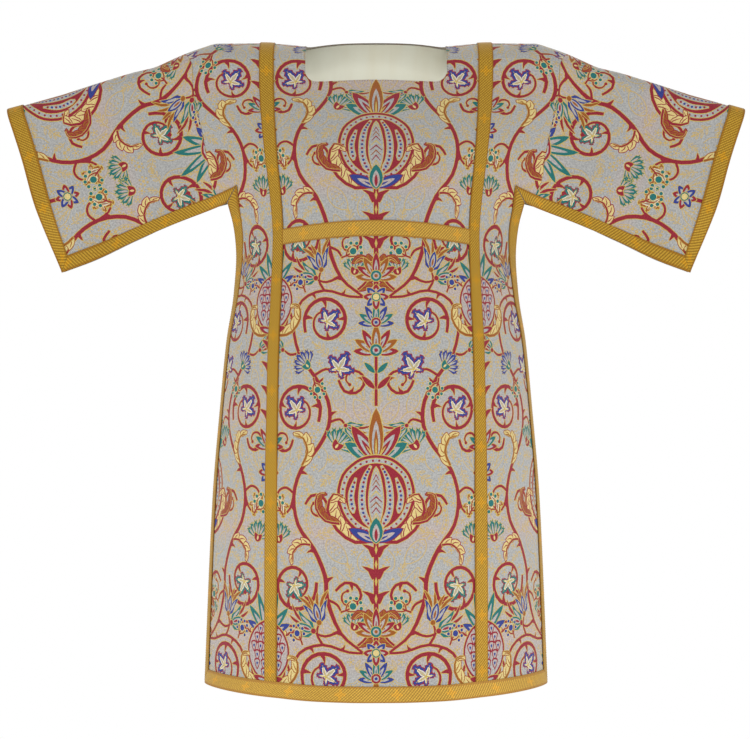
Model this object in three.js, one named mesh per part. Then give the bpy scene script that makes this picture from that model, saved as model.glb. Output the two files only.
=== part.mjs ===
// A Roman-cut liturgical tunic, filled out as worn with both arms held to the sides.
// Millimetres, +Z up. The origin is the middle of the shoulder line, the front faces -Y
// and the sleeves reach along X. Every piece is a thin wall, and the hollow stays empty.
import * as THREE from 'three';

// ---- Driving sizes ----
const PANEL_WALL = 2;
const LINING_WALL = 1;
const GALLOON_WALL = 1.2;
const GAP = 0.3;
const BAND_LIFT = 1;
const LINING_LIFT = 1.5;
const ARMHOLE_GAP = 1;
const HEM_MIDDLE = 1108;
const HEM_SIDE_FALL = 4.5;
const HEM_FALL_FROM = 820;
const HEM_FALL_REACH = 400;
const GALLOON = 26.5;
const CLAVUS_MIDDLE = 188.5;
const CLAVUS_WIDTH = 26;
const CHEST_TOP = 321.5;
const CHEST_SAG = 12;
const CHEST_SAG_REACH = 260;
const CHEST_SAG_END = 470;
const NECK_HALF = 121;
const NECK_FRONT = 75;
const NECK_CORNER = 20;
const NECK_CORNER_FADE = 60;
const NECK_FADE = { from: 40, to: 145 };
const NECK_BACK = 13;
const NECK_BACK_FADE = 110;
const NECK_RIPPLE = 2.5;
const NAPE_RISE = 37;
const NAPE_POWER = 1.2;
const NAPE_FADE = 180;
const LINING_INSET = 6;
const SLOPE_FADE = 262;
const BODY_TURN = 42;
const SLEEVE_TURN = 26;
const SLEEVE_TURN_FROM = 300;
const SLEEVE_TURN_TO = 450;
const SLEEVE_DEPTH_TOP = 26;
const SLEEVE_DEPTH_ARM = 31;
const SLEEVE_DEPTH_LOW = 13;
const SLEEVE_CLOSE_FROM = 190;
const SLEEVE_CLOSE_TO = 300;
const VALLEY_REACH = 30;
const ARMPIT_INNER = { across: 237.8, drop: 250.9 };

// Height of the top line of the shoulders and sleeves.
const SHOULDER = [
  { across: 0, height: -2 },
  { across: 121, height: -2 },
  { across: 160, height: 1.5 },
  { across: 200, height: 3.5 },
  { across: 275, height: 3.5 },
  { across: 302, height: -3.5 },
  { across: 333, height: -14.5 },
  { across: 357, height: -24.5 },
  { across: 388, height: -38 },
  { across: 422, height: -46 },
  { across: 467, height: -59.5 },
  { across: 556, height: -87.5 },
  { across: 644, height: -112 },
];

// Level sections of the body. cut: where the cloth ends, at the armhole seam or the side
// edge. girth: where the section turns into the hollow of the arm. front and back: how far
// the middle stands out. edge: how far the cloth stands out at the girth. power: how soon the
// section turns from the middle to the side.
const LEVELS = [
  { drop: 0, cut: 333, girth: 333, front: 72, back: 88, edge: 45, power: 3 },
  { drop: 38, cut: 316, girth: 322, front: 86, back: 100, edge: 50, power: 2.9 },
  { drop: 69, cut: 315, girth: 316, front: 96, back: 112, edge: 52, power: 2.8 },
  { drop: 127, cut: 305.5, girth: 306, front: 138, back: 138, edge: 54, power: 2.6 },
  { drop: 165, cut: 298, girth: 300, front: 166, back: 152, edge: 53, power: 2.5 },
  { drop: 202, cut: 292.5, girth: 292, front: 186, back: 164, edge: 50, power: 2.45 },
  { drop: 256, cut: 279.5, girth: 275, front: 202, back: 178, edge: 42, power: 2.45 },
  { drop: 278, cut: 256.5, girth: 267, front: 206, back: 183, edge: 36, power: 2.35 },
  { drop: 326, cut: 246.5, girth: 252, front: 211, back: 190, edge: 22, power: 2.04 },
  { drop: 371, cut: 244, girth: 246, front: 214, back: 194, edge: 13, power: 1.75 },
  { drop: 436, cut: 248, girth: 248.5, front: 217, back: 198, edge: 9, power: 1.55 },
  { drop: 516, cut: 259.5, girth: 259.5, front: 219, back: 202, edge: 7, power: 1.43 },
  { drop: 620, cut: 269.5, girth: 269.5, front: 222, back: 207, edge: 6, power: 1.38 },
  { drop: 790, cut: 283.5, girth: 283.5, front: 226, back: 214, edge: 7, power: 1.4 },
  { drop: 1113, cut: 297.5, girth: 297.5, front: 231, back: 222, edge: 9, power: 1.45 },
];
const ARMPIT = { across: 256.5, drop: 278 };
const ARMPIT_END = 300;

// Both long edges of the underarm galloon, from the armpit to the cuff.
const UNDERARM = [
  { along: 0, edgeX: 256.5, edgeZ: -278, innerX: 237.8, innerZ: -250.9 },
  { along: 0.28, edgeX: 337.7, edgeZ: -307.2, innerX: 335.9, innerZ: -283.9 },
  { along: 0.56, edgeX: 419.1, edgeZ: -341.8, innerX: 418.3, innerZ: -318.5 },
  { along: 0.81, edgeX: 491.9, edgeZ: -376.5, innerX: 483.2, innerZ: -346.2 },
  { along: 1, edgeX: 547.3, edgeZ: -397.3, innerX: 538, innerZ: -367.3 },
];

// Both long edges of the cuff galloon, from the fold over the arm to the lower corner.
const CUFF = [
  { along: 0, edgeX: 644, edgeZ: -112, innerX: 616, innerZ: -104 },
  { along: 0.31, edgeX: 614.3, edgeZ: -202.6, innerX: 588.5, innerZ: -190 },
  { along: 0.56, edgeX: 595, edgeZ: -272, innerX: 570, innerZ: -256 },
  { along: 0.8, edgeX: 570, edgeZ: -341.8, innerX: 552.5, innerZ: -321 },
  { along: 1, edgeX: 547.3, edgeZ: -397.3, innerX: 538, innerZ: -367.3 },
];

// ---- Materials ----
const BROCADE = new THREE.MeshStandardMaterial({ color: 0xc8c2c3, roughness: 0.55 });
const GOLD = new THREE.MeshStandardMaterial({ color: 0xc8972a, roughness: 0.5, metalness: 0.2 });
const LINING = new THREE.MeshStandardMaterial({ color: 0xc6c3b2, roughness: 0.7 });

// ---- Tables as smooth curves ----
// A curve through one column of a table that never overshoots between its rows.
function column(rows, key, name) {
  const xs = rows.map((row) => row[key]);
  const ys = rows.map((row) => row[name]);
  const grades = xs.slice(1).map((x, i) => (ys[i + 1] - ys[i]) / (x - xs[i]));
  const slopes = xs.map((x, i) => {
    const before = grades[Math.max(i - 1, 0)];
    const after = grades[Math.min(i, grades.length - 1)];
    return before * after <= 0 ? 0 : (2 * before * after) / (before + after);
  });
  return (query) => {
    const x = THREE.MathUtils.clamp(query, xs[0], xs[xs.length - 1]);
    const i = Math.max(xs.findIndex((end) => end >= x) - 1, 0);
    const width = xs[i + 1] - xs[i];
    const s = (x - xs[i]) / width;
    const rest = 1 - s;
    const start = ys[i] * rest * rest * (1 + 2 * s) + slopes[i] * width * s * rest * rest;
    const end = ys[i + 1] * s * s * (3 - 2 * s) - slopes[i + 1] * width * s * s * rest;
    return start + end;
  };
}

const shoulder = column(SHOULDER, 'across', 'height');
const cut = column(LEVELS, 'drop', 'cut');
const girth = column(LEVELS, 'drop', 'girth');
const edge = column(LEVELS, 'drop', 'edge');
const power = column(LEVELS, 'drop', 'power');
const middle = {
  front: column(LEVELS, 'drop', 'front'),
  back: column(LEVELS, 'drop', 'back'),
};
const underarm = {
  edgeX: column(UNDERARM, 'along', 'edgeX'),
  edgeZ: column(UNDERARM, 'along', 'edgeZ'),
  innerX: column(UNDERARM, 'along', 'innerX'),
  innerZ: column(UNDERARM, 'along', 'innerZ'),
};
const cuff = {
  edgeX: column(CUFF, 'along', 'edgeX'),
  edgeZ: column(CUFF, 'along', 'edgeZ'),
  innerX: column(CUFF, 'along', 'innerX'),
  innerZ: column(CUFF, 'along', 'innerZ'),
};
const facing = { front: -1, back: 1 };
const mix = THREE.MathUtils.lerp;

// ---- The form ----
// Drop below the shoulder line of a place on the cloth.
function dropAt(x, z) {
  const slope = Math.max(shoulder(x), shoulder(cut(0)));
  const drop = (shoulder(x) - z) / (1 + slope / SLOPE_FADE);
  return drop < SLOPE_FADE ? drop : Math.max(SLOPE_FADE, -z);
}

// Rounding of the cloth over the shoulder and the arm.
function turn(drop, radius) {
  return drop >= radius ? 1 : Math.sqrt(Math.max(0, 1 - (1 - drop / radius) ** 2));
}

// How far the front or back stands out from the shoulder plane, on the body within the
// girth and on the sleeve beyond it. Below the arm, a sleeve's two sides hang together.
function depthAt(side, x, drop) {
  const across = Math.abs(x);
  const share = Math.min(1, across / girth(drop));
  const swell = (middle[side](drop) - edge(drop)) * (1 - share * share) ** (power(drop) / 2);
  const round = mix(SLEEVE_DEPTH_TOP, SLEEVE_DEPTH_ARM, Math.min(1, drop / SLEEVE_CLOSE_FROM));
  const closing = THREE.MathUtils.smoothstep(drop, SLEEVE_CLOSE_FROM, SLEEVE_CLOSE_TO);
  const hang = mix(round, SLEEVE_DEPTH_LOW, closing);
  const valley = Math.exp(-Math.max(0, across - girth(drop)) / VALLEY_REACH);
  const outward = THREE.MathUtils.smoothstep(across, SLEEVE_TURN_FROM, SLEEVE_TURN_TO);
  const radius = mix(BODY_TURN, SLEEVE_TURN, outward);
  return (mix(hang, edge(drop), valley) + swell) * turn(drop, radius) + GAP / 2;
}

// Height of a place on the body, from its drop. The back rises at the nape.
function bodyHeight(side, x, drop) {
  const lean = Math.max(0, 1 - drop / SLOPE_FADE);
  const nearNape = Math.max(0, 1 - (x / NECK_HALF) ** 2) ** NAPE_POWER;
  const aboveBlades = Math.max(0, 1 - drop / NAPE_FADE) ** 2;
  const rise = side === 'back' ? NAPE_RISE * nearNape * aboveBlades : 0;
  return shoulder(Math.abs(x)) * lean - drop + rise;
}

// Half a level section, as places with their distance along the cloth from the middle.
const SECTION_STEPS = 80;
const sections = new Map();
function section(side, drop) {
  const key = `${side} ${drop.toFixed(3)}`;
  if (!sections.has(key)) {
    const places = [{ x: 0, depth: depthAt(side, 0, drop), arc: 0 }];
    for (let step = 1; step <= SECTION_STEPS; step += 1) {
      const x = cut(drop) * Math.sin((step / SECTION_STEPS) * (Math.PI / 2));
      const depth = depthAt(side, x, drop);
      const last = places[step - 1];
      places.push({ x, depth, arc: last.arc + Math.hypot(x - last.x, depth - last.depth) });
    }
    sections.set(key, places);
  }
  return sections.get(key);
}

function halfLength(side, drop) {
  return section(side, drop)[SECTION_STEPS].arc;
}

// The place on the body at a distance along the cloth from the middle.
function bodyPoint(side, arc, drop) {
  const places = section(side, drop);
  const wanted = Math.min(Math.abs(arc), places[SECTION_STEPS].arc);
  const i = Math.max(1, places.findIndex((place) => place.arc >= wanted - 1e-9));
  const share = (wanted - places[i - 1].arc) / (places[i].arc - places[i - 1].arc);
  const x = Math.sign(arc) * mix(places[i - 1].x, places[i].x, share);
  const y = facing[side] * depthAt(side, x, drop);
  return new THREE.Vector3(x, y, bodyHeight(side, x, drop));
}

// The place on the cloth, body or sleeve, at a point seen from the front.
function clothPoint(side, x, z) {
  return new THREE.Vector3(x, facing[side] * depthAt(side, x, dropAt(x, z)), z);
}

// Where the armhole seam passes under the upper edge of the underarm galloon: halve the
// stretch of edge that holds the crossing until it is a point.
const BISECTIONS = 40;
function seamCrossing() {
  let low = 0;
  let high = UNDERARM[1].along;
  for (let turnOfLoop = 0; turnOfLoop < BISECTIONS; turnOfLoop += 1) {
    const along = (low + high) / 2;
    const x = underarm.innerX(along);
    const onBody = x < cut(dropAt(x, underarm.innerZ(along))) + ARMHOLE_GAP;
    if (onBody) low = along;
    else high = along;
  }
  return low;
}
const SEAM_END_ALONG = seamCrossing();
const SEAM_END_DROP = dropAt(underarm.innerX(SEAM_END_ALONG), underarm.innerZ(SEAM_END_ALONG));

// ---- Walls ----
// Whether a cell folds along the line from its first corner. The shorter diagonal is the
// fold, or on a near square cell the one that runs down and outwards, so that mirrored
// pieces, and pieces that lie on each other, fold alike.
const CLEARLY_SHORTER = 0.97;
function foldsAlongFirst(grid, i, j) {
  const first = [grid[j][i], grid[j + 1][i + 1]];
  const second = [grid[j][i + 1], grid[j + 1][i]];
  const ratio = first[0].distanceTo(first[1]) / second[0].distanceTo(second[1]);
  if (ratio < CLEARLY_SHORTER) return true;
  if (ratio > 1 / CLEARLY_SHORTER) return false;
  const [upper, lower] = first[0].z > first[1].z ? first : [first[1], first[0]];
  return Math.abs(upper.x) < Math.abs(lower.x);
}

// A closed wall on a grid of points. The grid's rows run along X and its columns down, and
// missing(column, row) names cells that are cut away. low and high are the distances of the
// two faces from the points, outwards.
function wall(grid, side, low, high, missing = () => false) {
  const rows = grid.length;
  const columns = grid[0].length;
  const normals = grid.map((row) => row.map(() => new THREE.Vector3()));
  const cells = [];
  for (let j = 0; j + 1 < rows; j += 1) {
    for (let i = 0; i + 1 < columns; i += 1) {
      if (!missing(i, j)) cells.push([i, j]);
    }
  }
  const kept = new Set(cells.map(([i, j]) => `${i} ${j}`));
  for (const [i, j] of cells) {
    const down = grid[j + 1][i + 1].clone().sub(grid[j][i]);
    const up = grid[j][i + 1].clone().sub(grid[j + 1][i]);
    const normal = down.cross(up).multiplyScalar(-facing[side]);
    for (const [di, dj] of [[0, 0], [1, 0], [0, 1], [1, 1]]) {
      normals[j + dj][i + di].add(normal);
    }
  }
  const positions = [];
  for (let j = 0; j < rows; j += 1) {
    for (let i = 0; i < columns; i += 1) {
      const normal = normals[j][i];
      const onFold = Math.abs(grid[j][i].y) < GAP;
      if (onFold) normal.y = 0;
      normal.normalize();
      positions.push(...grid[j][i].clone().addScaledVector(normal, high).toArray());
      positions.push(...grid[j][i].clone().addScaledVector(normal, low).toArray());
    }
  }
  const outer = (i, j) => 2 * (j * columns + i);
  const inner = (i, j) => outer(i, j) + 1;
  const index = [];
  const quad = (a, b, c, d) => index.push(a, b, c, a, c, d);
  for (const [i, j] of cells) {
    const outside = [outer(i, j), outer(i, j + 1), outer(i + 1, j + 1), outer(i + 1, j)];
    const inside = [inner(i, j), inner(i + 1, j), inner(i + 1, j + 1), inner(i, j + 1)];
    if (!foldsAlongFirst(grid, i, j)) {
      outside.push(outside.shift());
      inside.push(inside.shift());
    }
    quad(...outside);
    quad(...inside);
    if (!kept.has(`${i} ${j - 1}`)) quad(outer(i + 1, j), inner(i + 1, j), inner(i, j), outer(i, j));
    if (!kept.has(`${i} ${j + 1}`)) {
      quad(outer(i, j + 1), inner(i, j + 1), inner(i + 1, j + 1), outer(i + 1, j + 1));
    }
    if (!kept.has(`${i - 1} ${j}`)) quad(outer(i, j), inner(i, j), inner(i, j + 1), outer(i, j + 1));
    if (!kept.has(`${i + 1} ${j}`)) {
      quad(outer(i + 1, j + 1), inner(i + 1, j + 1), inner(i + 1, j), outer(i + 1, j));
    }
  }
  if (side === 'back') index.reverse();
  const used = new Map();
  const compact = [];
  const renumbered = index.map((old) => {
    if (!used.has(old)) {
      used.set(old, used.size);
      compact.push(...positions.slice(3 * old, 3 * old + 3));
    }
    return used.get(old);
  });
  const geometry = new THREE.BufferGeometry();
  geometry.setAttribute('position', new THREE.Float32BufferAttribute(compact, 3));
  geometry.setIndex(renumbered);
  geometry.computeVertexNormals();
  return geometry;
}

const tunic = new THREE.Group();

function add(name, geometry, material) {
  const mesh = new THREE.Mesh(geometry, material);
  mesh.name = name;
  tunic.add(mesh);
}

// The same grid on the other side of the middle, with its rows turned to run along X again.
function mirrored(grid) {
  return grid.map((row) => row.map((point) => new THREE.Vector3(-point.x, point.y, point.z)).reverse());
}

function addPair(name, grid, side, low, high, material) {
  add(`${name}_left`, wall(grid, side, low, high), material);
  add(`${name}_right`, wall(mirrored(grid), side, low, high), material);
}

// ---- Body panels ----
// Levels of the panels' rows, as drops from the shoulder line.
const sine = (angle) => Math.sin(THREE.MathUtils.degToRad(angle));
const TURN_ANGLES = [0, 24, 46, 68, 90];
const SHOULDER_LEVELS = [120, 185];
const ARMPIT_LEVELS = [ARMPIT.drop, 288, ARMPIT_END];
const SKIRT_LEVELS = [400, 470, 570, 720, 900];
const BODY_ROWS = [
  ...TURN_ANGLES.map((angle) => BODY_TURN * (1 - sine(90 - angle))),
  NECK_FRONT - NECK_CORNER,
  NECK_FRONT,
  ...SHOULDER_LEVELS,
  ARMPIT_INNER.drop,
  SEAM_END_DROP,
  ...ARMPIT_LEVELS,
  CHEST_TOP,
  CHEST_TOP + GALLOON,
  ...SKIRT_LEVELS,
  HEM_MIDDLE - GALLOON,
  HEM_MIDDLE,
];
const NECK_ROW = BODY_ROWS.indexOf(NECK_FRONT);
const CHEST_ROW = BODY_ROWS.indexOf(CHEST_TOP);
const HEM_ROW = BODY_ROWS.length - 1;

// Distances of the panels' columns from the middle: half way to the corner of the neckline,
// round the corner, and the two edges of the upright band.
const CORNER_START = NECK_HALF - NECK_CORNER;
const CORNER_ANGLES = [0, 37, 64, 90];
const CORNER_ARCS = CORNER_ANGLES.map((angle) => CORNER_START + NECK_CORNER * sine(angle));
const INNER_ARCS = [0, CORNER_START / 2, ...CORNER_ARCS];
const NECK_COLUMN = INNER_ARCS.length - 1;
const CLAVUS_INNER = CLAVUS_MIDDLE - CLAVUS_WIDTH / 2;
const CLAVUS_OUTER = CLAVUS_MIDDLE + CLAVUS_WIDTH / 2;
const SIDE_SHARES = [0.36, 0.7, 1];
const GALLOON_FOLD = 12;

// Distances of the panel's columns from its middle, at one level.
function columnArcs(side, drop) {
  const end = halfLength(side, drop);
  const sides = SIDE_SHARES.map((share) => mix(CLAVUS_OUTER, end - GALLOON, share));
  return [...INNER_ARCS, CLAVUS_INNER, CLAVUS_OUTER, ...sides, end - GALLOON_FOLD, end];
}
const HALF_COLUMNS = columnArcs('front', 0).length;

// The weft droops beside the chest and the hem falls a little towards its sides.
function sag(drop, arc) {
  const above = THREE.MathUtils.smoothstep(drop, ARMPIT.drop, CHEST_TOP);
  const below = THREE.MathUtils.smoothstep(drop, CHEST_TOP + GALLOON, CHEST_SAG_END);
  const reach = Math.min(Math.abs(arc), CHEST_SAG_REACH) / CHEST_SAG_REACH;
  const chest = CHEST_SAG * above * (1 - below) * (1 - Math.cos(Math.PI * reach)) / 2;
  const nearHem = THREE.MathUtils.smoothstep(drop, HEM_FALL_FROM, HEM_MIDDLE);
  return chest + HEM_SIDE_FALL * nearHem * Math.min(1, (arc / HEM_FALL_REACH) ** 2);
}

// The front neckline is a little higher in its middle.
function ripple(arc) {
  const share = Math.min(1, Math.abs(arc) / CORNER_START);
  return NECK_RIPPLE * (1 + Math.cos(Math.PI * share)) / 2;
}

// The front neckline is square with rounded corners; the back one is a shallow curve.
function neckDrop(side, arc, row) {
  const drop = BODY_ROWS[row];
  const inside = Math.max(0, 1 - (arc / NECK_HALF) ** 2);
  if (side === 'back') {
    return drop + NECK_BACK * inside * Math.max(0, 1 - drop / NECK_BACK_FADE);
  }
  const above = THREE.MathUtils.smoothstep(drop, NECK_FADE.from, NECK_FRONT);
  const below = THREE.MathUtils.smoothstep(drop, NECK_FRONT, NECK_FADE.to);
  const past = THREE.MathUtils.clamp(Math.abs(arc) - CORNER_START, 0, NECK_CORNER);
  const corner = NECK_CORNER - Math.sqrt(NECK_CORNER ** 2 - past ** 2);
  const beside = Math.max(0, 1 - (Math.abs(arc) - NECK_HALF) / NECK_CORNER_FADE);
  const lift = Math.abs(arc) > NECK_HALF ? NECK_CORNER * beside : corner + ripple(arc);
  return drop - lift * above * (1 - below);
}

function panelNode(side, columnIndex, row, inset = 0) {
  const drop = BODY_ROWS[row];
  const distance = Math.abs(columnIndex);
  const rough = columnArcs(side, drop)[distance];
  const real = neckDrop(side, rough, row) + sag(drop, rough);
  const arc = columnArcs(side, real)[distance] - inset;
  return bodyPoint(side, Math.sign(columnIndex) * arc, real);
}

function panelGrid(side) {
  const columns = [];
  for (let i = 1 - HALF_COLUMNS; i < HALF_COLUMNS; i += 1) columns.push(i);
  return BODY_ROWS.map((drop, row) => columns.map((i) => panelNode(side, i, row)));
}

// The cells of the front that the neck opening takes away.
const FIRST_NECK_CELL = HALF_COLUMNS - 1 - NECK_COLUMN;
const LAST_NECK_CELL = HALF_COLUMNS - 2 + NECK_COLUMN;
function inNeck(i, j) {
  return j < NECK_ROW && i >= FIRST_NECK_CELL && i <= LAST_NECK_CELL;
}

const fronts = panelGrid('front');
const backs = panelGrid('back');
add('front_panel', wall(fronts, 'front', -PANEL_WALL, 0, inNeck), BROCADE);
add('back_panel', wall(backs, 'back', -PANEL_WALL, 0), BROCADE);
// The lining stops short of the seams, and takes every other row and column of the panel.
function liningGrid() {
  const columns = [];
  for (let i = 1 - HALF_COLUMNS; i < HALF_COLUMNS; i += 1) {
    if (i % 2 === 0 || Math.abs(i) === HALF_COLUMNS - 1) columns.push(i);
  }
  const rows = [...BODY_ROWS.keys()].filter((row) => row % 2 === 1 || row > NECK_ROW);
  const inset = (i) => (Math.abs(i) === HALF_COLUMNS - 1 ? LINING_INSET : 0);
  return rows.map((row) => columns.map((i) => panelNode('back', i, row, inset(i))));
}
const LINING_OUT = -PANEL_WALL - LINING_LIFT;
add('back_lining', wall(liningGrid(), 'back', LINING_OUT - LINING_WALL, LINING_OUT), LINING);

// ---- Sleeves ----
const SLEEVE_ALONG = [0, 0.06, 0.14, 0.28, 0.46, 0.64, 0.82, 1];
const SEAM_DROPS = BODY_ROWS.filter((drop) => drop <= SEAM_END_DROP);
const SLEEVE_DOWN = SEAM_DROPS.map((drop) => drop / SEAM_END_DROP);

const flat = (x, z) => new THREE.Vector2(x, z);

// Upper edge of the sleeve seam, cuff and underarm, seen from the front.
function seamLine(share) {
  const drop = share * SEAM_END_DROP;
  return flat(cut(drop) + ARMHOLE_GAP, bodyHeight('front', cut(drop), drop));
}
function foldLine(share) {
  const x = mix(cut(0) + ARMHOLE_GAP, CUFF[0].innerX, share);
  return flat(x, shoulder(x));
}
function innerCuffLine(share) {
  return flat(cuff.innerX(share), cuff.innerZ(share));
}
function innerUnderarmLine(share) {
  const along = mix(SEAM_END_ALONG, 1, share);
  return flat(underarm.innerX(along), underarm.innerZ(along));
}

// A place inside four boundary lines, blended from all of them.
function between(across, down) {
  const sides = seamLine(down).lerp(innerCuffLine(down), across);
  const ends = foldLine(across).lerp(innerUnderarmLine(across), down);
  const top = seamLine(0).lerp(innerCuffLine(0), across);
  const bottom = seamLine(1).lerp(innerCuffLine(1), across);
  return sides.add(ends).sub(top.lerp(bottom, down));
}

// One row of the sleeve seen from the front, from the seam to the cuff's edge.
function sleeveRow(down) {
  const row = SLEEVE_ALONG.map((across) => between(across, down));
  row.push(flat(cuff.edgeX(down), cuff.edgeZ(down)));
  return row;
}

// The lower edge of the sleeve. Its last place but one is drawn back for the cuff's mitre.
const CUFF_MITRE_SHARE = 0.3;
function underarmEdgeRow() {
  const row = SLEEVE_ALONG.map((across) => flat(underarm.edgeX(across), underarm.edgeZ(across)));
  row[0].x += ARMHOLE_GAP;
  row.push(row.at(-1).clone());
  row.at(-2).lerp(row.at(-3), CUFF_MITRE_SHARE);
  return row;
}

// The sleeve runs from its back underarm edge over the arm to its front underarm edge.
const outlineRows = [...SLEEVE_DOWN.map(sleeveRow), underarmEdgeRow()];
const onCloth = (side, row) => row.map((place) => clothPoint(side, place.x, place.y));
const sleeveFronts = outlineRows.map((row) => onCloth('front', row));
const sleeveBacks = outlineRows.slice(1).map((row) => onCloth('back', row));
const sleeveGrid = [...sleeveBacks.reverse(), ...sleeveFronts];
addPair('sleeve', sleeveGrid, 'front', -PANEL_WALL, 0, BROCADE);

// ---- Galloon bands ----
const BAND_LOW = BAND_LIFT;
const BAND_HIGH = BAND_LIFT + GALLOON_WALL;

// Upright bands run from the front hem band over the shoulder to the back hem band.
const CLAVUS_COLUMNS = [INNER_ARCS.length, INNER_ARCS.length + 1];
const clavusRows = [...Array(HEM_ROW).keys()];
function clavusRow(side, row) {
  return CLAVUS_COLUMNS.map((i) => {
    const point = panelNode(side, i, row);
    if (row === HEM_ROW - 1) point.z += GAP;
    return point;
  });
}
const clavus = [
  ...clavusRows.slice(1).map((row) => clavusRow('back', row)).reverse(),
  ...clavusRows.map((row) => clavusRow('front', row)),
];
addPair('galloon_upright', clavus, 'front', BAND_LOW, BAND_HIGH, GOLD);

const HEM_FAN_FROM = INNER_ARCS.length + 2;
const HEM_FAN = [0, 0.25, 0.45, 0.62, 0.76, 0.88, 1];
const MITRE_STEPS = [0.3, 0.65, 1];
const MITRE_GAP = 0.6;
for (const side of ['front', 'back']) {
  const chest = [];
  for (const row of [CHEST_ROW, CHEST_ROW + 1]) {
    const line = [];
    for (let i = -INNER_ARCS.length; i <= INNER_ARCS.length; i += 1) {
      line.push(panelNode(side, i, row, Math.abs(i) === INNER_ARCS.length ? GAP : 0));
    }
    chest.push(line);
  }
  add(`galloon_cross_${side}`, wall(chest, side, BAND_LOW, BAND_HIGH), GOLD);

  // The hem band is mitred with the side bands, so its upper edge is shorter.
  const hem = [];
  for (const row of [HEM_ROW - 1, HEM_ROW]) {
    const end = halfLength(side, BODY_ROWS[row]) - GAP - (row === HEM_ROW ? 0 : GALLOON);
    const start = columnArcs(side, BODY_ROWS[row])[HEM_FAN_FROM];
    const even = columnArcs(side, BODY_ROWS[row]).slice(0, HEM_FAN_FROM);
    const fan = HEM_FAN.map((share) => mix(start, end, share));
    const arcs = [...even, ...fan];
    const line = [...arcs.slice(1).reverse().map((arc) => -arc), ...arcs];
    hem.push(line.map((arc) => bodyPoint(side, arc, BODY_ROWS[row] + sag(BODY_ROWS[row], arc))));
  }
  add(`galloon_hem_${side}`, wall(hem, side, BAND_LOW, BAND_HIGH), GOLD);

  // The side band runs from the armpit mitre to the hem mitre.
  const widths = [GALLOON, GALLOON_FOLD, 0];
  const sideRows = BODY_ROWS.filter((drop) => drop > ARMPIT_END && drop < HEM_MIDDLE - GALLOON);
  const atLevel = (drop, inset) => {
    const real = drop + sag(drop, halfLength(side, drop) - inset);
    return bodyPoint(side, halfLength(side, real) - inset, real);
  };
  const mitreDrop = (inset) => mix(ARMPIT.drop, ARMPIT_INNER.drop, inset / GALLOON);
  const armpitMitre = widths.map((inset) => {
    const x = mix(ARMPIT.across, ARMPIT_INNER.across, inset / GALLOON);
    return clothPoint(side, x - MITRE_GAP, -mitreDrop(inset) - MITRE_GAP);
  });
  const belowMitre = MITRE_STEPS.map((share) => widths.map((inset, i) => {
    const level = atLevel(ARMPIT_END, inset);
    const x = mix(armpitMitre[i].x, level.x, share);
    const z = mix(armpitMitre[i].z, level.z, share);
    return share === 1 ? level : clothPoint(side, x, z);
  }));
  const hemMitre = widths.map((inset) => atLevel(HEM_MIDDLE - inset - GAP, inset));
  const levels = sideRows.map((drop) => widths.map((inset) => atLevel(drop, inset)));
  const sideBand = [armpitMitre, ...belowMitre, ...levels, hemMitre];
  addPair(`galloon_side_${side}`, sideBand, side, BAND_LOW, BAND_HIGH, GOLD);

  // The underarm band runs from the armpit mitre to the cuff mitre.
  const mitreStart = [[ARMPIT_INNER.across, -ARMPIT_INNER.drop], [ARMPIT.across, -ARMPIT.drop]];
  const bandLines = outlineRows.slice(-2).map((row) => row.slice(0, SLEEVE_ALONG.length));
  const underarmBand = bandLines.map((line, i) => {
    const start = flat(mitreStart[i][0] + MITRE_GAP, mitreStart[i][1] + MITRE_GAP);
    const places = [start, ...line.slice(i), ...(i === 1 ? [outlineRows.at(-1).at(-1)] : [])];
    places[places.length - 1] = places.at(-1).clone().sub(flat(GAP, 0));
    return places.map((place) => clothPoint(side, place.x, place.y));
  });
  addPair(`galloon_underarm_${side}`, underarmBand, side, BAND_LOW, BAND_HIGH, GOLD);
}

// The cuff band goes round the cuff over the arm.
function cuffRow(side, down) {
  const shift = down === 1 ? GAP : 0;
  const inner = flat(cuff.innerX(down) + shift, cuff.innerZ(down));
  const outer = flat(cuff.edgeX(down) + shift, cuff.edgeZ(down));
  return [clothPoint(side, inner.x, inner.y), clothPoint(side, outer.x, outer.y)];
}
const cuffBand = [
  ...SLEEVE_DOWN.slice(1).reverse().map((down) => cuffRow('back', down)),
  ...SLEEVE_DOWN.map((down) => cuffRow('front', down)),
];
addPair('galloon_cuff', cuffBand, 'front', BAND_LOW, BAND_HIGH, GOLD);

export default tunic;
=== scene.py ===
# %% [markdown]
# # A liturgical tunic, filled out as worn
# The garment is a Roman-cut tunic: a front and a back panel joined on the shoulders, two
# short wide sleeves, a plain lining inside the back, and gold galloon on every open edge.
# The cloth is a figured silk brocade, stiff enough to stand away from the wearer.
#
# Everything here is made from one idea. A tailor's panel is flat, and each place on it is
# known by how far it lies from the middle and how far below the shoulder. So the pattern,
# the seams and the bands are all drawn on the flat cloth first, and one function then lays
# the flat cloth on the worn form. Nothing has to be fitted afterwards.

# %% Load the frame and keep its box
import math

import bpy
import numpy as np
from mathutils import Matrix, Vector
from mathutils.geometry import delaunay_2d_cdt


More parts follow.
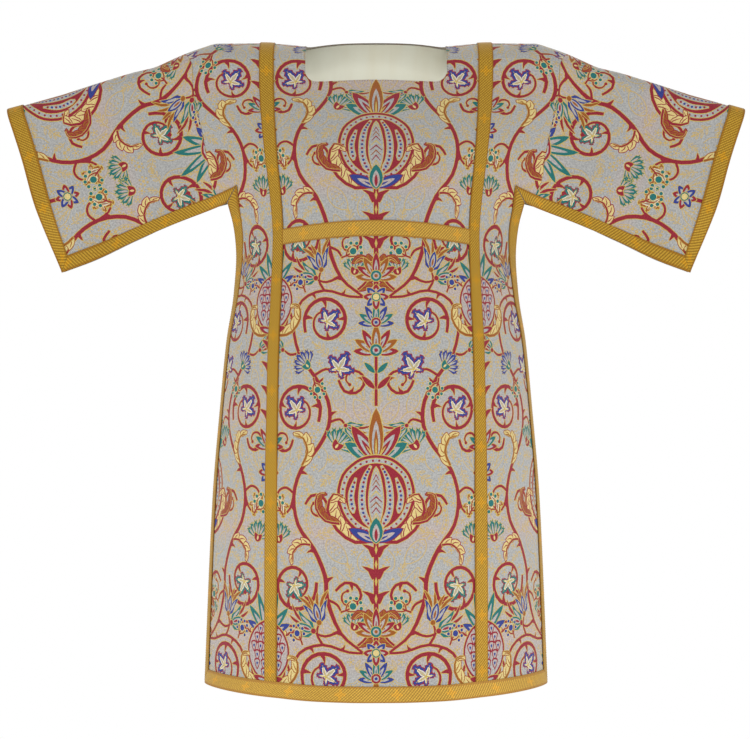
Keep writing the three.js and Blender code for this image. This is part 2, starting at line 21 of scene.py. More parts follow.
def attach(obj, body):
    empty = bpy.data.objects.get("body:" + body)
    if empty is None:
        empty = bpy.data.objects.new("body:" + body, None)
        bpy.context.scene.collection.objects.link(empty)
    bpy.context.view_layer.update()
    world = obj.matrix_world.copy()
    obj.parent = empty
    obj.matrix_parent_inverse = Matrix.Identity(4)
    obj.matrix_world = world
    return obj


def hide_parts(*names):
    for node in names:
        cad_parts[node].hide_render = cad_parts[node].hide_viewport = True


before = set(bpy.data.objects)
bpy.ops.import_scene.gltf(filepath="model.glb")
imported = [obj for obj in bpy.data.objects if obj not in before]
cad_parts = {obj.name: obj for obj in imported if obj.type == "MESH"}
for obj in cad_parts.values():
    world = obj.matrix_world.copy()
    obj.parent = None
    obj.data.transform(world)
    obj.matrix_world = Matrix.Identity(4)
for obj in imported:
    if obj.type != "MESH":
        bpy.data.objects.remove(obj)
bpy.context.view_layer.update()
MM = 0.001

# %% [markdown]
# ## Camera
# A garment is best looked at level, from the middle of its height and from a few metres away,
# so that its outline isn't bent by perspective. The lens is long for the same reason.

# %% The camera
CAMERA_DISTANCE = 3.2
CAMERA_HEIGHT = -0.566
VIEW_WIDTH = 1.3125
SENSOR = 36.0
camera_data = bpy.data.cameras.new("studio_camera")
camera_data.sensor_width = SENSOR
camera_data.lens = SENSOR * CAMERA_DISTANCE / VIEW_WIDTH
camera = bpy.data.objects.new("studio_camera", camera_data)
camera.location = (-0.0018, -CAMERA_DISTANCE, CAMERA_HEIGHT)
camera.rotation_euler = (math.radians(90), 0, 0)
bpy.context.scene.collection.objects.link(camera)
bpy.context.scene.camera = camera
print("lens", round(camera_data.lens, 1), "mm")

# %% [markdown]
# ## The worn form
# On the real garment the form comes from the cut and from the stiff interlining. It could be
# found by a cloth simulation over a figure, but a stiff brocade shows almost no drape, and a
# form that is worked out keeps its seams exactly where the pattern pieces meet. So the form
# is a short table of level sections, in millimetres, with smooth curves between the rows.

# %% The tables of the form
SHOULDER = {
    "across": [0, 121, 160, 200, 275, 302, 333, 357, 388, 422, 467, 556, 644],
    "height": [-2, -2, 1.5, 3.5, 3.5, -3.5, -14.5, -24.5, -38, -46, -59.5, -87.5, -112],
}
LEVELS = {
    "drop": [0, 38, 69, 127, 165, 202, 256, 278, 326, 371, 436, 516, 620, 790, 1113],
    "cut": [333, 316, 315, 305.5, 298, 292.5, 279.5, 256.5, 246.5, 244, 248, 259.5, 269.5,
            283.5, 297.5],
    "girth": [333, 322, 316, 306, 300, 292, 275, 267, 252, 246, 248.5, 259.5, 269.5, 283.5,
              297.5],
    "front": [72, 86, 96, 138, 166, 186, 202, 206, 211, 214, 217, 219, 222, 226, 231],
    "back": [88, 100, 112, 138, 152, 164, 178, 183, 190, 194, 198, 202, 207, 214, 222],
    "edge": [45, 50, 52, 54, 53, 50, 42, 36, 22, 13, 9, 7, 6, 7, 9],
    "power": [3, 2.9, 2.8, 2.6, 2.5, 2.45, 2.45, 2.35, 2.04, 1.75, 1.55, 1.43, 1.38, 1.4,
              1.45],
}
UNDERARM = {
    "along": [0, 0.28, 0.56, 0.81, 1],
    "edge_x": [256.5, 337.7, 419.1, 491.9, 547.3],
    "edge_z": [-278, -307.2, -341.8, -376.5, -397.3],
    "inner_x": [237.8, 335.9, 418.3, 483.2, 538],
    "inner_z": [-250.9, -283.9, -318.5, -346.2, -367.3],
}
CUFF = {
    "along": [0, 0.31, 0.56, 0.8, 1],
    "edge_x": [644, 614.3, 595, 570, 547.3],
    "edge_z": [-112, -202.6, -272, -341.8, -397.3],
    "inner_x": [616, 588.5, 570, 552.5, 538],
    "inner_z": [-104, -190, -256, -321, -367.3],
}


def smooth_column(table, key, name):
    """A curve through one column of a table that never overshoots between its rows."""
    xs = np.array(table[key], float)
    ys = np.array(table[name], float)
    grades = np.diff(ys) / np.diff(xs)
    before = np.r_[grades[:1], grades]
    after = np.r_[grades, grades[-1:]]
    product = before * after
    slopes = np.where(product > 0, 2 * product / np.where(product > 0, before + after, 1), 0)

    def value(query):
        x = np.clip(query, xs[0], xs[-1])
        i = np.clip(np.searchsorted(xs, x) - 1, 0, len(xs) - 2)
        width = xs[i + 1] - xs[i]
        s = (x - xs[i]) / width
        rest = 1 - s
        start = ys[i] * rest**2 * (1 + 2 * s) + slopes[i] * width * s * rest**2
        end = ys[i + 1] * s**2 * (3 - 2 * s) - slopes[i + 1] * width * s**2 * rest
        return start + end

    return value


def smooth_columns(table, key):
    return {name: smooth_column(table, key, name) for name in table if name != key}


shoulder = smooth_column(SHOULDER, "across", "height")
level = smooth_columns(LEVELS, "drop")
underarm = smooth_columns(UNDERARM, "along")
cuff = smooth_columns(CUFF, "along")
print("half width at the hem", float(level["cut"](1108)), "mm")

# %% [markdown]
# Seen from the front, a place has a distance from the middle and a drop below the shoulder
# line. From those two follow its depth, a rounded box for the trunk that fades into the flat
# hanging sleeve, and its height, which slopes with the shoulder and comes level further down.

# %% Depth and height of a place on the worn form
FACING = {"front": -1, "back": 1}
SLOPE_FADE = 262
BODY_TURN = 42
SLEEVE_TURN = 26
SLEEVE_TURN_FROM = 300
SLEEVE_TURN_TO = 450
SLEEVE_DEPTH_TOP = 26
SLEEVE_DEPTH_ARM = 31
SLEEVE_DEPTH_LOW = 13
SLEEVE_CLOSE_FROM = 190
SLEEVE_CLOSE_TO = 300
VALLEY_REACH = 30
NECK_HALF = 121
NAPE_RISE = 37
NAPE_POWER = 1.2
NAPE_FADE = 180


def smoothstep(value, low, high):
    share = np.clip((value - low) / (high - low), 0, 1)
    return share * share * (3 - 2 * share)


def depth_at(side, x, drop):
    """How far the cloth stands out from the plane where front and back meet."""
    across = np.abs(x)
    girth = level["girth"](drop)
    edge = level["edge"](drop)
    share = np.minimum(1, across / girth)
    swell = (level[side](drop) - edge) * (1 - share**2) ** (level["power"](drop) / 2)
    near_arm = np.minimum(1, drop / SLEEVE_CLOSE_FROM)
    hang = SLEEVE_DEPTH_TOP + (SLEEVE_DEPTH_ARM - SLEEVE_DEPTH_TOP) * near_arm
    hang = hang + (SLEEVE_DEPTH_LOW - hang) * smoothstep(drop, SLEEVE_CLOSE_FROM, SLEEVE_CLOSE_TO)
    valley = np.exp(-np.maximum(0, across - girth) / VALLEY_REACH)
    outward = smoothstep(across, SLEEVE_TURN_FROM, SLEEVE_TURN_TO)
    radius = BODY_TURN + (SLEEVE_TURN - BODY_TURN) * outward
    turn = np.sqrt(np.clip(1 - (1 - np.minimum(drop, radius) / radius) ** 2, 0, 1))
    return (hang + (edge - hang) * valley + swell) * turn


def drop_at(x, z):
    """Drop below the shoulder line of a place seen from the front."""
    top = shoulder(np.abs(x))
    slope = np.maximum(top, shoulder(level["cut"](0)))
    drop = (top - z) / (1 + slope / SLOPE_FADE)
    return np.where(drop < SLOPE_FADE, drop, np.maximum(SLOPE_FADE, top - slope - z))


def body_height(side, x, drop):
    lean = np.maximum(0, 1 - drop / SLOPE_FADE)
    rise = 0
    if side == "back":
        near_nape = np.maximum(0, 1 - (x / NECK_HALF) ** 2) ** NAPE_POWER
        rise = NAPE_RISE * near_nape * np.maximum(0, 1 - drop / NAPE_FADE) ** 2
    return shoulder(np.abs(x)) * lean - drop + rise


print("depth of the chest", round(float(depth_at("front", 0.0, 256.0))), "mm")

# %% [markdown]
# ## Soft creases
# Stiff brocade doesn't fall in folds. It bows in long shallow troughs and ridges: below the
# armpits, where the sleeve pulls at the shoulder, and down the skirt. Each one here is a line
# seen from the front, with a depth in millimetres and a soft width, and no two are alike.
# They are moved into the form by one function, so that the bands and the lining on a crease
# bend with it.

# %% The creases and how deep they are at a place
# from and to: both ends as (across, height); width: half width; depth: outwards if positive
CREASES = {
    "front": [
        ((228, -340), (214, -640), 26, -3.4), ((206, -420), (228, -980), 24, 2.6),
        ((-226, -350), (-216, -600), 24, -3.0), ((-204, -380), (-232, -900), 26, 3.0),
        ((92, -640), (120, -1100), 34, 2.6), ((-80, -700), (-106, -1105), 38, 2.2),
        ((16, -780), (6, -1105), 30, -2.4), ((150, -760), (170, -1105), 26, -2.0),
        ((-146, -820), (-160, -1105), 22, -2.2), ((284, -196), (352, -120), 22, -3.4),
        ((-280, -190), (-356, -128), 24, -3.0), ((262, -236), (392, -236), 14, 2.2),
        ((-264, -240), (-380, -228), 13, 2.4), ((440, -130), (470, -320), 24, -2.0),
        ((-452, -140), (-476, -310), 22, -2.2), ((520, -150), (516, -340), 20, 1.6),
        ((-530, -160), (-520, -330), 19, 1.5), ((238, -120), (206, -230), 22, -2.6),
        ((-236, -116), (-210, -240), 20, -2.4),
    ],
    "back": [
        ((226, -340), (208, -690), 26, -3.4), ((-224, -350), (-214, -620), 25, -3.6),
        ((70, -560), (96, -1100), 36, 3.0), ((-96, -600), (-76, -1105), 34, 2.6),
        ((0, -640), (-10, -1105), 32, -2.8), ((160, -700), (176, -1105), 24, -2.2),
        ((-168, -680), (-150, -1105), 26, -2.4), ((282, -200), (356, -126), 24, -3.2),
        ((-284, -196), (-350, -120), 22, -3.2), ((264, -238), (386, -230), 14, 2.4),
        ((-262, -236), (-394, -238), 14, 2.2), ((446, -136), (480, -320), 22, -2.2),
        ((-444, -130), (-470, -330), 24, -2.0), ((0, -120), (0, -330), 60, -3.0),
    ],
}


def crease_depth(side, x, z):
    """How far the creases move a place outwards, seen from the front, in millimetres."""
    total = np.zeros_like(x)
    for (x0, z0), (x1, z1), width, depth in CREASES[side]:
        run = np.array([x1 - x0, z1 - z0], float)
        length = math.hypot(*run)
        along = ((x - x0) * run[0] + (z - z0) * run[1]) / length
        across = ((x - x0) * run[1] - (z - z0) * run[0]) / length
        past = np.maximum(0, np.maximum(-along, along - length))
        total += depth * np.exp(-((across / width) ** 2) - (past / (1.6 * width)) ** 2)
    return total * smoothstep(drop_at(x, z), 10, 90)


TUCK_NEAR = 7.0
TUCK_FAR = 2.5


def underarm_tuck(x, z):
    """Under the arm the back hangs a little higher than the front, which hides its edge."""
    across = np.abs(x)
    near_side = smoothstep(across, 150, 250)
    high = TUCK_NEAR + (TUCK_FAR - TUCK_NEAR) * smoothstep(across, 300, 420)
    below_arm = smoothstep(drop_at(x, z), 110, 255)
    on_body = across < level["cut"](0)
    past_armpit = np.where(on_body, smoothstep(-z, 285, 400), 0)
    return high * near_side * below_arm * (1 - past_armpit)


print("creases", {side: len(rows) for side, rows in CREASES.items()})

# %% [markdown]
# ## Flat cloth and worn cloth
# A panel's place is (across, down): the distance along the weft from the middle, and along
# the warp from the shoulder line. Laying it on the form means walking those distances over
# the curved surface. The walk along a level is kept as a table of section lengths, and the
# walk down is the length of the line of the chest, so the figures of the brocade keep their
# size where the chest turns away, as they do on real cloth.

# %% Walking along and down the body
TABLE_DROPS = np.r_[BODY_TURN * (1 - np.cos(np.linspace(0, np.pi / 2, 24))), np.arange(48, 1114, 6.0)]
TABLE_STEPS = 160
CHEST_TOP = 321.5
CHEST_SAG = 12
CHEST_SAG_REACH = 260
CHEST_SAG_END = 470
ARMPIT_DROP = 278
GALLOON = 26.5
HEM_MIDDLE = 1108
HEM_FALL_FROM = 820
HEM_FALL_REACH = 400
HEM_SIDE_FALL = 4.5
WALK_AT = 100.0

shares = np.sin(np.linspace(0, np.pi / 2, TABLE_STEPS + 1))
section_x = level["cut"](TABLE_DROPS)[:, None] * shares[None, :]
section_arc = {}
warp_walk = {}
for side in FACING:
    depth = depth_at(side, section_x, np.broadcast_to(TABLE_DROPS[:, None], section_x.shape))
    steps = np.hypot(np.diff(section_x, axis=1), np.diff(depth, axis=1))
    section_arc[side] = np.c_[np.zeros(len(TABLE_DROPS)), np.cumsum(steps, axis=1)]
    line = depth_at(side, np.full(len(TABLE_DROPS), WALK_AT), TABLE_DROPS)
    steps = np.hypot(np.diff(TABLE_DROPS), np.diff(line))
    warp_walk[side] = np.r_[0, np.cumsum(steps)]
# x at even shares of each half section
even = np.linspace(0, 1, TABLE_STEPS + 1)
section_even = {
    side: np.array([np.interp(even * arcs[-1], arcs, xs) for arcs, xs in zip(section_arc[side], section_x)])
    for side in FACING
}


def half_length(side, drop):
    return np.interp(drop, TABLE_DROPS, section_arc[side][:, -1])


def down_of(side, drop):
    return np.interp(drop, TABLE_DROPS, warp_walk[side])


def drop_of(side, down):
    """The drop at a distance down the warp; near the shoulder it grows with the square."""
    angle = np.linspace(0, np.pi / 2, 24)
    first = np.interp(down, warp_walk[side][:24], angle)
    near = BODY_TURN * (1 - np.cos(first))
    far = np.interp(down, warp_walk[side], TABLE_DROPS)
    return np.where(down < warp_walk[side][23], near, far)


def sag(drop, across):
    """The weft droops beside the chest, and the hem falls a little towards its sides."""
    above = smoothstep(drop, ARMPIT_DROP, CHEST_TOP)
    below = smoothstep(drop, CHEST_TOP + GALLOON, CHEST_SAG_END)
    reach = np.minimum(np.abs(across), CHEST_SAG_REACH) / CHEST_SAG_REACH
    chest = CHEST_SAG * above * (1 - below) * (1 - np.cos(np.pi * reach)) / 2
    near_hem = smoothstep(drop, HEM_FALL_FROM, HEM_MIDDLE)
    return chest + HEM_SIDE_FALL * near_hem * np.minimum(1, (across / HEM_FALL_REACH) ** 2)


def side_across(side, down):
    """How far from the middle the side edge is, at a distance down the cloth."""
    drop = drop_of(side, down)
    across = half_length(side, drop)
    for _ in range(4):
        across = half_length(side, drop + sag(drop, across))
    return across


def body_place(side, flat):
    """Flat (across, down) on a body panel to a place on the form, without creases."""
    across, down = flat[:, 0], flat[:, 1]
    drop = drop_of(side, down)
    drop = drop + sag(drop, across)
    row = np.interp(drop, TABLE_DROPS, np.arange(len(TABLE_DROPS)))
    column = np.clip(np.abs(across) / half_length(side, drop), 0, 1) * TABLE_STEPS
    j = np.minimum(row.astype(int), len(TABLE_DROPS) - 2)
    i = np.minimum(column.astype(int), TABLE_STEPS - 1)
    b, a = row - j, column - i
    table = section_even[side]
    upper = table[j, i] * (1 - a) + table[j, i + 1] * a
    lower = table[j + 1, i] * (1 - a) + table[j + 1, i + 1] * a
    x = np.sign(across) * (upper * (1 - b) + lower * b)
    y = FACING[side] * depth_at(side, x, drop)
    return np.column_stack([x, y, body_height(side, x, drop)])


print("front hem, half way round", round(float(half_length("front", HEM_MIDDLE))), "mm")
print("shoulder to hem along the cloth", round(float(down_of("front", HEM_MIDDLE))), "mm")

# %% [markdown]
# A sleeve is one piece, folded over the arm: its place is (along, over), the distance along
# the fold and the distance over it, to the front if positive. The left sleeve is worked out,
# and the right one is its mirror image.

# %% Walking along and over a sleeve
FOLD_ANGLE = math.radians(17.4)
FOLD_RADIUS = 30.0


def sleeve_seen(flat):
    """Flat (along, over) on the left sleeve to (across, height) seen from the front."""
    fold_x = flat[:, 0] * math.cos(FOLD_ANGLE)
    over = np.abs(flat[:, 1])
    round_fold = FOLD_RADIUS * (1 - np.cos(np.minimum(over / FOLD_RADIUS, np.pi / 2)))
    past = np.maximum(0, over - FOLD_RADIUS * np.pi / 2)
    below = round_fold + past
    x = fold_x - below * math.sin(FOLD_ANGLE)
    return np.column_stack([x, shoulder(fold_x) - below * math.cos(FOLD_ANGLE)])


def sleeve_place(flat):
    seen = sleeve_seen(flat)
    x, z = seen[:, 0], seen[:, 1]
    depth = depth_at("front", x, np.maximum(0, drop_at(x, z)))
    back = depth_at("back", x, np.maximum(0, drop_at(x, z)))
    return np.column_stack([x, np.where(flat[:, 1] >= 0, -depth, back), z])


def sleeve_flat(x, z):
    """(across, height) seen from the front to flat (along, over) on the left sleeve."""
    fold_x = np.array(x, float)
    for _ in range(12):
        below = (shoulder(fold_x) - z) / math.cos(FOLD_ANGLE)
        fold_x = x + below * math.sin(FOLD_ANGLE)
    below = np.maximum(0, below)
    near = FOLD_RADIUS * np.arccos(1 - np.minimum(below, FOLD_RADIUS) / FOLD_RADIUS)
    over = np.where(below < FOLD_RADIUS, near, below + FOLD_RADIUS * (np.pi / 2 - 1))
    return np.column_stack([fold_x / math.cos(FOLD_ANGLE), over])


there = sleeve_flat(np.array([400.0, 540.0]), np.array([-200.0, -300.0]))
print("the sleeve walk and back again", sleeve_seen(there).round(2).tolist())

# %% [markdown]
# Every layer lies a little above or below the same worn surface. Its direction outwards is
# found from three neighbouring places, before and after the creases are pressed in, and the
# second one also shades the mesh, so the shading is smooth however the cloth is divided.

# %% Laying flat cloth on the worn form
PROBE = 0.5
EDGE_HOLD = 0.02


def surfaces(kind):
    """The place function, the side function and the middle of a piece of flat cloth."""
    if kind == "sleeve":
        return sleeve_place, lambda flat: flat[:, 1] >= 0, (520.0, 0.0)
    return lambda flat: body_place(kind, flat), None, (0.0, 600.0)


def outward(place, flat, inward_across, inward_down):
    """Unit normals of a surface, from places a small step towards the middle of the cloth."""
    here = place(flat)
    beside = place(flat + np.column_stack([inward_across, np.zeros(len(flat))]))
    below = place(flat + np.column_stack([np.zeros(len(flat)), inward_down]))
    normal = np.cross((beside - here) * np.sign(inward_across)[:, None],
                      (below - here) * np.sign(inward_down)[:, None])
    return here, normal / np.linalg.norm(normal, axis=1)[:, None]


def on_cloth(kind, flat):
    """The same places, held inside the side edge, which a chord of the outline may just pass."""
    if kind not in FACING:
        return flat
    reach = side_across(kind, flat[:, 1]) - EDGE_HOLD
    return np.column_stack([np.clip(flat[:, 0], -reach, reach), flat[:, 1]])


def worn(kind, flat, lift=0.0):
    """Flat cloth laid on the form: its places and its normals. Lift is outwards, in mm."""
    flat = on_cloth(kind, np.array(flat, float))
    base_place, front_side, middle = surfaces(kind)
    inward = [np.where(flat[:, c] > middle[c], -PROBE, PROBE) for c in (0, 1)]
    way = {"front": -1.0, "back": 1.0, "sleeve": -1.0}[kind]

    def creased(at):
        here, normal = outward(base_place, on_cloth(kind, at), *inward)
        on_front = np.full(len(at), kind == "front") if front_side is None else front_side(at)
        x, z = here[:, 0], here[:, 2]
        deep = np.where(on_front, crease_depth("front", x, z), crease_depth("back", x, z))
        moved = here + normal * (way * (deep + lift))[:, None]
        moved[:, 2] += np.where(on_front, 0, underarm_tuck(x, z))
        return moved

    place, normal = outward(creased, flat, *inward)
    return place, normal * way


probe, normal = worn("front", [(0, 500.0), (120, 800.0)])
print("a front place and its direction", probe.round(1).tolist(), normal.round(2).tolist())
probe, normal = worn("back", [(0, 500.0)])
print("a back place and its direction", probe.round(1).tolist(), normal.round(2).tolist())
probe, normal = worn("sleeve", [(520.0, 200.0), (520.0, 0.0), (520.0, -200.0)])
print("sleeve places and directions", probe.round(1).tolist(), normal.round(2).tolist())

# %% [markdown]
# ## Finishes
# Each thread gets its own finish. A woven surface has three scales: the colour of the yarn,
# uneven because silk takes dye unevenly; the binding, small ribs and slanting twill lines
# about half a millimetre apart; and loose fibres that catch light at a low angle, which is
# what sheen stands for. The ribs are worked out from the flat cloth's own map, in metres, so
# they run with the weave on every panel, also on the turned sleeves.

# %% Tools for finishes


def linear(hex_colour):
    """A colour written as on a dyer's card, #RRGGBB, as linear light."""
    parts = [int(hex_colour[k:k + 2], 16) / 255 for k in (1, 3, 5)]
    return tuple(c / 12.92 if c < 0.04045 else ((c + 0.055) / 1.055) ** 2.4 for c in parts) + (1.0,)


BLACK = (0, 0, 0, 1)
WHITE = (1, 1, 1, 1)


class Finish:
    """A material with short ways to add and join its nodes."""

    def __init__(self, name, roughness, sheen=0.0, sheen_roughness=0.4, metallic=0.0, gloss=0.2):
        self.material = bpy.data.materials.new(name)
        self.material.use_nodes = True
        self.tree = self.material.node_tree
        self.shader = self.tree.nodes["Principled BSDF"]
        self.shader.inputs["Roughness"].default_value = roughness
        self.shader.inputs["Sheen Weight"].default_value = sheen
        self.shader.inputs["Sheen Roughness"].default_value = sheen_roughness
        self.shader.inputs["Metallic"].default_value = metallic
        self.shader.inputs["Specular IOR Level"].default_value = gloss
        place = self.add("ShaderNodeUVMap", {}, uv_map="flat_cloth")
        self.place = place.outputs["UV"]
        split = self.add("ShaderNodeSeparateXYZ", {"Vector": self.place})
        self.across, self.up = split.outputs["X"], split.outputs["Y"]

    def add(self, kind, inputs, **settings):
        node = self.tree.nodes.new(kind)
        for name, value in settings.items():
            setattr(node, name, value)
        for name, value in inputs.items():
            self.set(node.inputs[name], value)
        return node

    def set(self, socket, value):
        if isinstance(value, bpy.types.NodeSocket):
            self.tree.links.new(value, socket)
        else:
            socket.default_value = value

    def math(self, operation, first, second=0.0):
        node = self.add("ShaderNodeMath", {}, operation=operation)
        for socket, value in zip(node.inputs, (first, second)):
            self.set(socket, value)
        return node.outputs["Value"]

    def plus(self, first, second):
        return self.math("ADD", first, second)

    def times(self, first, second):
        return self.math("MULTIPLY", first, second)

    def wave(self, walk, pitch):
        """A sine from -1 to 1 along a distance in metres."""
        return self.math("SINE", self.times(walk, 2 * math.pi / pitch))

    def noise(self, scale, detail=2.0, rough=0.5, where=None):
        inputs = {"Vector": where or self.place, "Scale": scale, "Detail": detail, "Roughness": rough}
        return self.add("ShaderNodeTexNoise", inputs).outputs["Fac"]

    def mix(self, share, first, second):
        node = self.add("ShaderNodeMix", {}, data_type="RGBA")
        self.set(node.inputs["Factor"], share)
        self.set(node.inputs[6], first)
        self.set(node.inputs[7], second)
        return node.outputs[2]

    def ramp(self, value, stops):
        node = self.add("ShaderNodeValToRGB", {"Fac": value})
        ramp = node.color_ramp
        while len(ramp.elements) < len(stops):
            ramp.elements.new(0.5)
        for element, (position, colour) in zip(ramp.elements, stops):
            element.position = position
            element.color = linear(colour) if isinstance(colour, str) else colour
        return node.outputs["Color"]

    def colour(self, socket):
        self.set(self.shader.inputs["Base Color"], socket)

    def relief(self, height, depth):
        bump = self.add("ShaderNodeBump", {"Height": height, "Strength": 1.0, "Distance": depth})
        self.set(self.shader.inputs["Normal"], bump.outputs["Normal"])


print("crimson in linear light", [round(c, 3) for c in linear("#8C1F2E")])

# %% [markdown]
# The ground is a silver silk satin that the weaver striped softly with a rose weft, three
# bands to each repeat. The stripes have no edges, so a colour ramp up the repeat makes them.

# %% The ground of the brocade
REPEAT = 0.58
SILVER = linear("#909191")
ROSE = linear("#A58F88")
# middle and half width of each rose band, as shares of the repeat
ROSE_BANDS = [(0.085, 0.062), (0.42, 0.062), (0.78, 0.115)]
ROSE_STRENGTH = (0.85, 0.85, 0.85, 1)
YARN_SCALE = 2400.0


def binding(finish, rib, twill_pitch, rib_share):
    """The height of the weave: weft ribs, slanting twill lines and uneven yarn."""
    ribs = finish.wave(finish.up, rib)
    slant = finish.wave(finish.plus(finish.across, finish.up), twill_pitch)
    woven = finish.plus(finish.times(ribs, rib_share), finish.times(slant, 1 - rib_share))
    return finish.plus(woven, finish.times(finish.noise(YARN_SCALE, 3.0), 1.2))


def ground_finish():
    finish = Finish("silver ground", roughness=0.55, sheen=0.3, sheen_roughness=0.3)
    phase = finish.math("FRACT", finish.math("DIVIDE", finish.up, REPEAT))
    stops = [(0.0, BLACK)]
    for middle, half in ROSE_BANDS:
        stops += [(middle - half, BLACK), (middle, ROSE_STRENGTH), (middle + half, BLACK)]
    rose = finish.ramp(phase, stops)
    base = finish.mix(rose, SILVER, ROSE)
    speckle = finish.ramp(finish.noise(330.0, 4.0, 0.7), [(0.40, BLACK), (0.60, WHITE)])
    fleck = finish.ramp(finish.noise(560.0, 2.0, 0.6), [(0.52, BLACK), (0.66, WHITE)])
    dark = finish.mix(0.18, base, linear("#6F6A66"))
    light = finish.mix(0.16, base, linear("#FFFDF8"))
    mottled = finish.mix(speckle, dark, light)
    finish.colour(finish.mix(finish.times(fleck, 0.35), mottled, linear("#CDC7B4")))
    finish.relief(binding(finish, 0.0007, 0.0011, 0.4), 0.00007)
    return finish.material


brocade_finishes = [ground_finish()]
print("ground", brocade_finishes[0].name, "rose bands", len(ROSE_BANDS))

# %% [markdown]
# The figures are brocaded with wefts of dyed silk and gilt thread. One function makes them all
# from three tones of the yarn, because dye never takes evenly. On the wrong side the wefts run
# loose in streaks.

# %% The brocading wefts


def thread_finish(name, colour, shade, bright, roughness=0.6):
    """A brocading weft: short floats bound by a slanting twill."""
    finish = Finish(name, roughness=roughness, sheen=0.08)
    finish.colour(finish.ramp(finish.noise(700.0, 3.0, 0.6), [(0.3, shade), (0.52, colour), (0.74, bright)]))
    finish.relief(binding(finish, 0.0009, 0.0008, 0.7), 0.00012)
    return finish.material


def reverse_finish():
    finish = Finish("reverse of the cloth", roughness=0.75, sheen=0.2)
    floats = finish.noise(60.0, 4.0, 0.7)
    finish.colour(finish.ramp(floats, [(0.4, "#A59A88"), (0.5, "#B3AA98"), (0.62, "#A98A7C")]))
    finish.relief(binding(finish, 0.0010, 0.0014, 0.6), 0.0001)
    return finish.material


brocade_finishes += [
    thread_finish("crimson weft", "#8C1F2E", "#731525", "#A53644"),
    thread_finish("blue weft", "#2C3A84", "#212B68", "#454F98"),
    thread_finish("teal weft", "#1D6B69", "#165654", "#337F7C"),
    thread_finish("ochre weft", "#94531C", "#7C4215", "#AA6C35"),
    thread_finish("gold weft", "#BFA654", "#9F8638", "#D8C274", roughness=0.5),
    thread_finish("pale gold weft", "#D2BE7E", "#B79F5C", "#E4D49C", roughness=0.5),
    thread_finish("tan weft", "#BDA36A", "#9E8449", "#D3BD88", roughness=0.5),
    thread_finish("cream weft", "#DED3B4", "#CCBF9C", "#EBE2CA"),
    reverse_finish(),
    thread_finish("turned edge", "#A08A5E", "#85714A", "#B5A077"),
]
print("brocade finishes", [m.name for m in brocade_finishes])

# %% [markdown]
# Galloon is a narrow braid woven with gilt thread. Its diagonal rib is coarse enough to see
# from a distance, both its edges are painted a darker orange-brown as a painted shadow of the
# raised braid's edge, and a small cross of brighter thread returns at even steps. The braid's
# own map runs along and across it. It comes in two copies: the upright bands take one darkened
# by painted shade, the level ones one lightened by a painted highlight for the sheen of level ribs.

# %% The galloon
CROSS_STEP = 0.093
RIB_PITCH = 0.0052
COUNTER_PITCH = 0.0060
EDGE_SHADOW_FROM = GALLOON * MM / 2 - 0.0026
ARM_HALF = 0.0024
ARM_REACH = 0.0092
HEART_REACH = 0.0068


def small_cross(finish, along, middle_out):
    """1 on a cross with a square heart, 0 beside it, once every step of the braid."""
    step = finish.math("FRACT", finish.math("DIVIDE", along, CROSS_STEP))
    near = finish.times(finish.math("ABSOLUTE", finish.math("SUBTRACT", step, 0.5)), CROSS_STEP)
    arms = []
    for first, second in ((near, middle_out), (middle_out, near)):
        slim = finish.math("LESS_THAN", first, ARM_HALF)
        arms.append(finish.times(slim, finish.math("LESS_THAN", second, ARM_REACH)))
    heart = finish.math("LESS_THAN", finish.plus(near, middle_out), HEART_REACH)
    return finish.math("MAXIMUM", finish.math("MAXIMUM", *arms), heart)


def galloon_finish(name, painted_light_colour, share):
    finish = Finish(name, roughness=0.5, sheen=0.0, metallic=0.2, gloss=0.15)
    along, across = finish.across, finish.up
    one = finish.wave(finish.plus(along, across), RIB_PITCH)
    other = finish.wave(finish.math("SUBTRACT", along, finish.times(across, 1.2)), COUNTER_PITCH)
    crossed = finish.plus(finish.times(one, 0.30), finish.times(other, 0.09))
    dots = finish.plus(crossed, 0.5)
    worn_gold = finish.noise(330.0, 3.0, 0.6)
    tone = finish.plus(finish.times(dots, 0.55), finish.times(worn_gold, 0.45))
    base = finish.ramp(tone, [(0.28, "#84621A"), (0.50, "#A67D22"), (0.72, "#CDA43A")])
    middle_out = finish.math("ABSOLUTE", across)
    # both edges are mixed towards a darker orange-brown: a painted shadow of the braid's raised edge
    painted_edge_shadow = finish.math("GREATER_THAN", middle_out, EDGE_SHADOW_FROM)
    base = finish.mix(finish.times(painted_edge_shadow, 0.65), base, linear("#925F14"))
    figure = small_cross(finish, along, middle_out)
    bright = finish.ramp(tone, [(0.28, "#A9720E"), (0.72, "#E6A81C")])
    gold = finish.mix(finish.times(figure, 0.6), base, bright)
    # painted light: a share of black is painted shade on the upright bands, a share of pale gold a painted
    # highlight on the level ones
    finish.colour(finish.mix(share, gold, linear(painted_light_colour)))
    finish.relief(finish.plus(dots, finish.times(worn_gold, 0.3)), 0.0003)
    return finish.material


# two copies of one galloon: upright, 12% towards black as painted shade; laid level, towards pale gold as a
# painted highlight standing for the sheen of ribs that run level
galloon_materials = {"upright": galloon_finish("gold galloon", "#000000", 0.12),
                     "level": galloon_finish("gold galloon laid level", "#F4E6BE", 0.035)}
print("galloon finishes", [m.name for m in galloon_materials.values()])

# %% [markdown]
# The lining is a plain beige sateen with long faint streaks down the warp. The sewing threads
# are made like the wefts, in darker tones, so that they stand out from the braid.

# %% The lining and the sewing threads


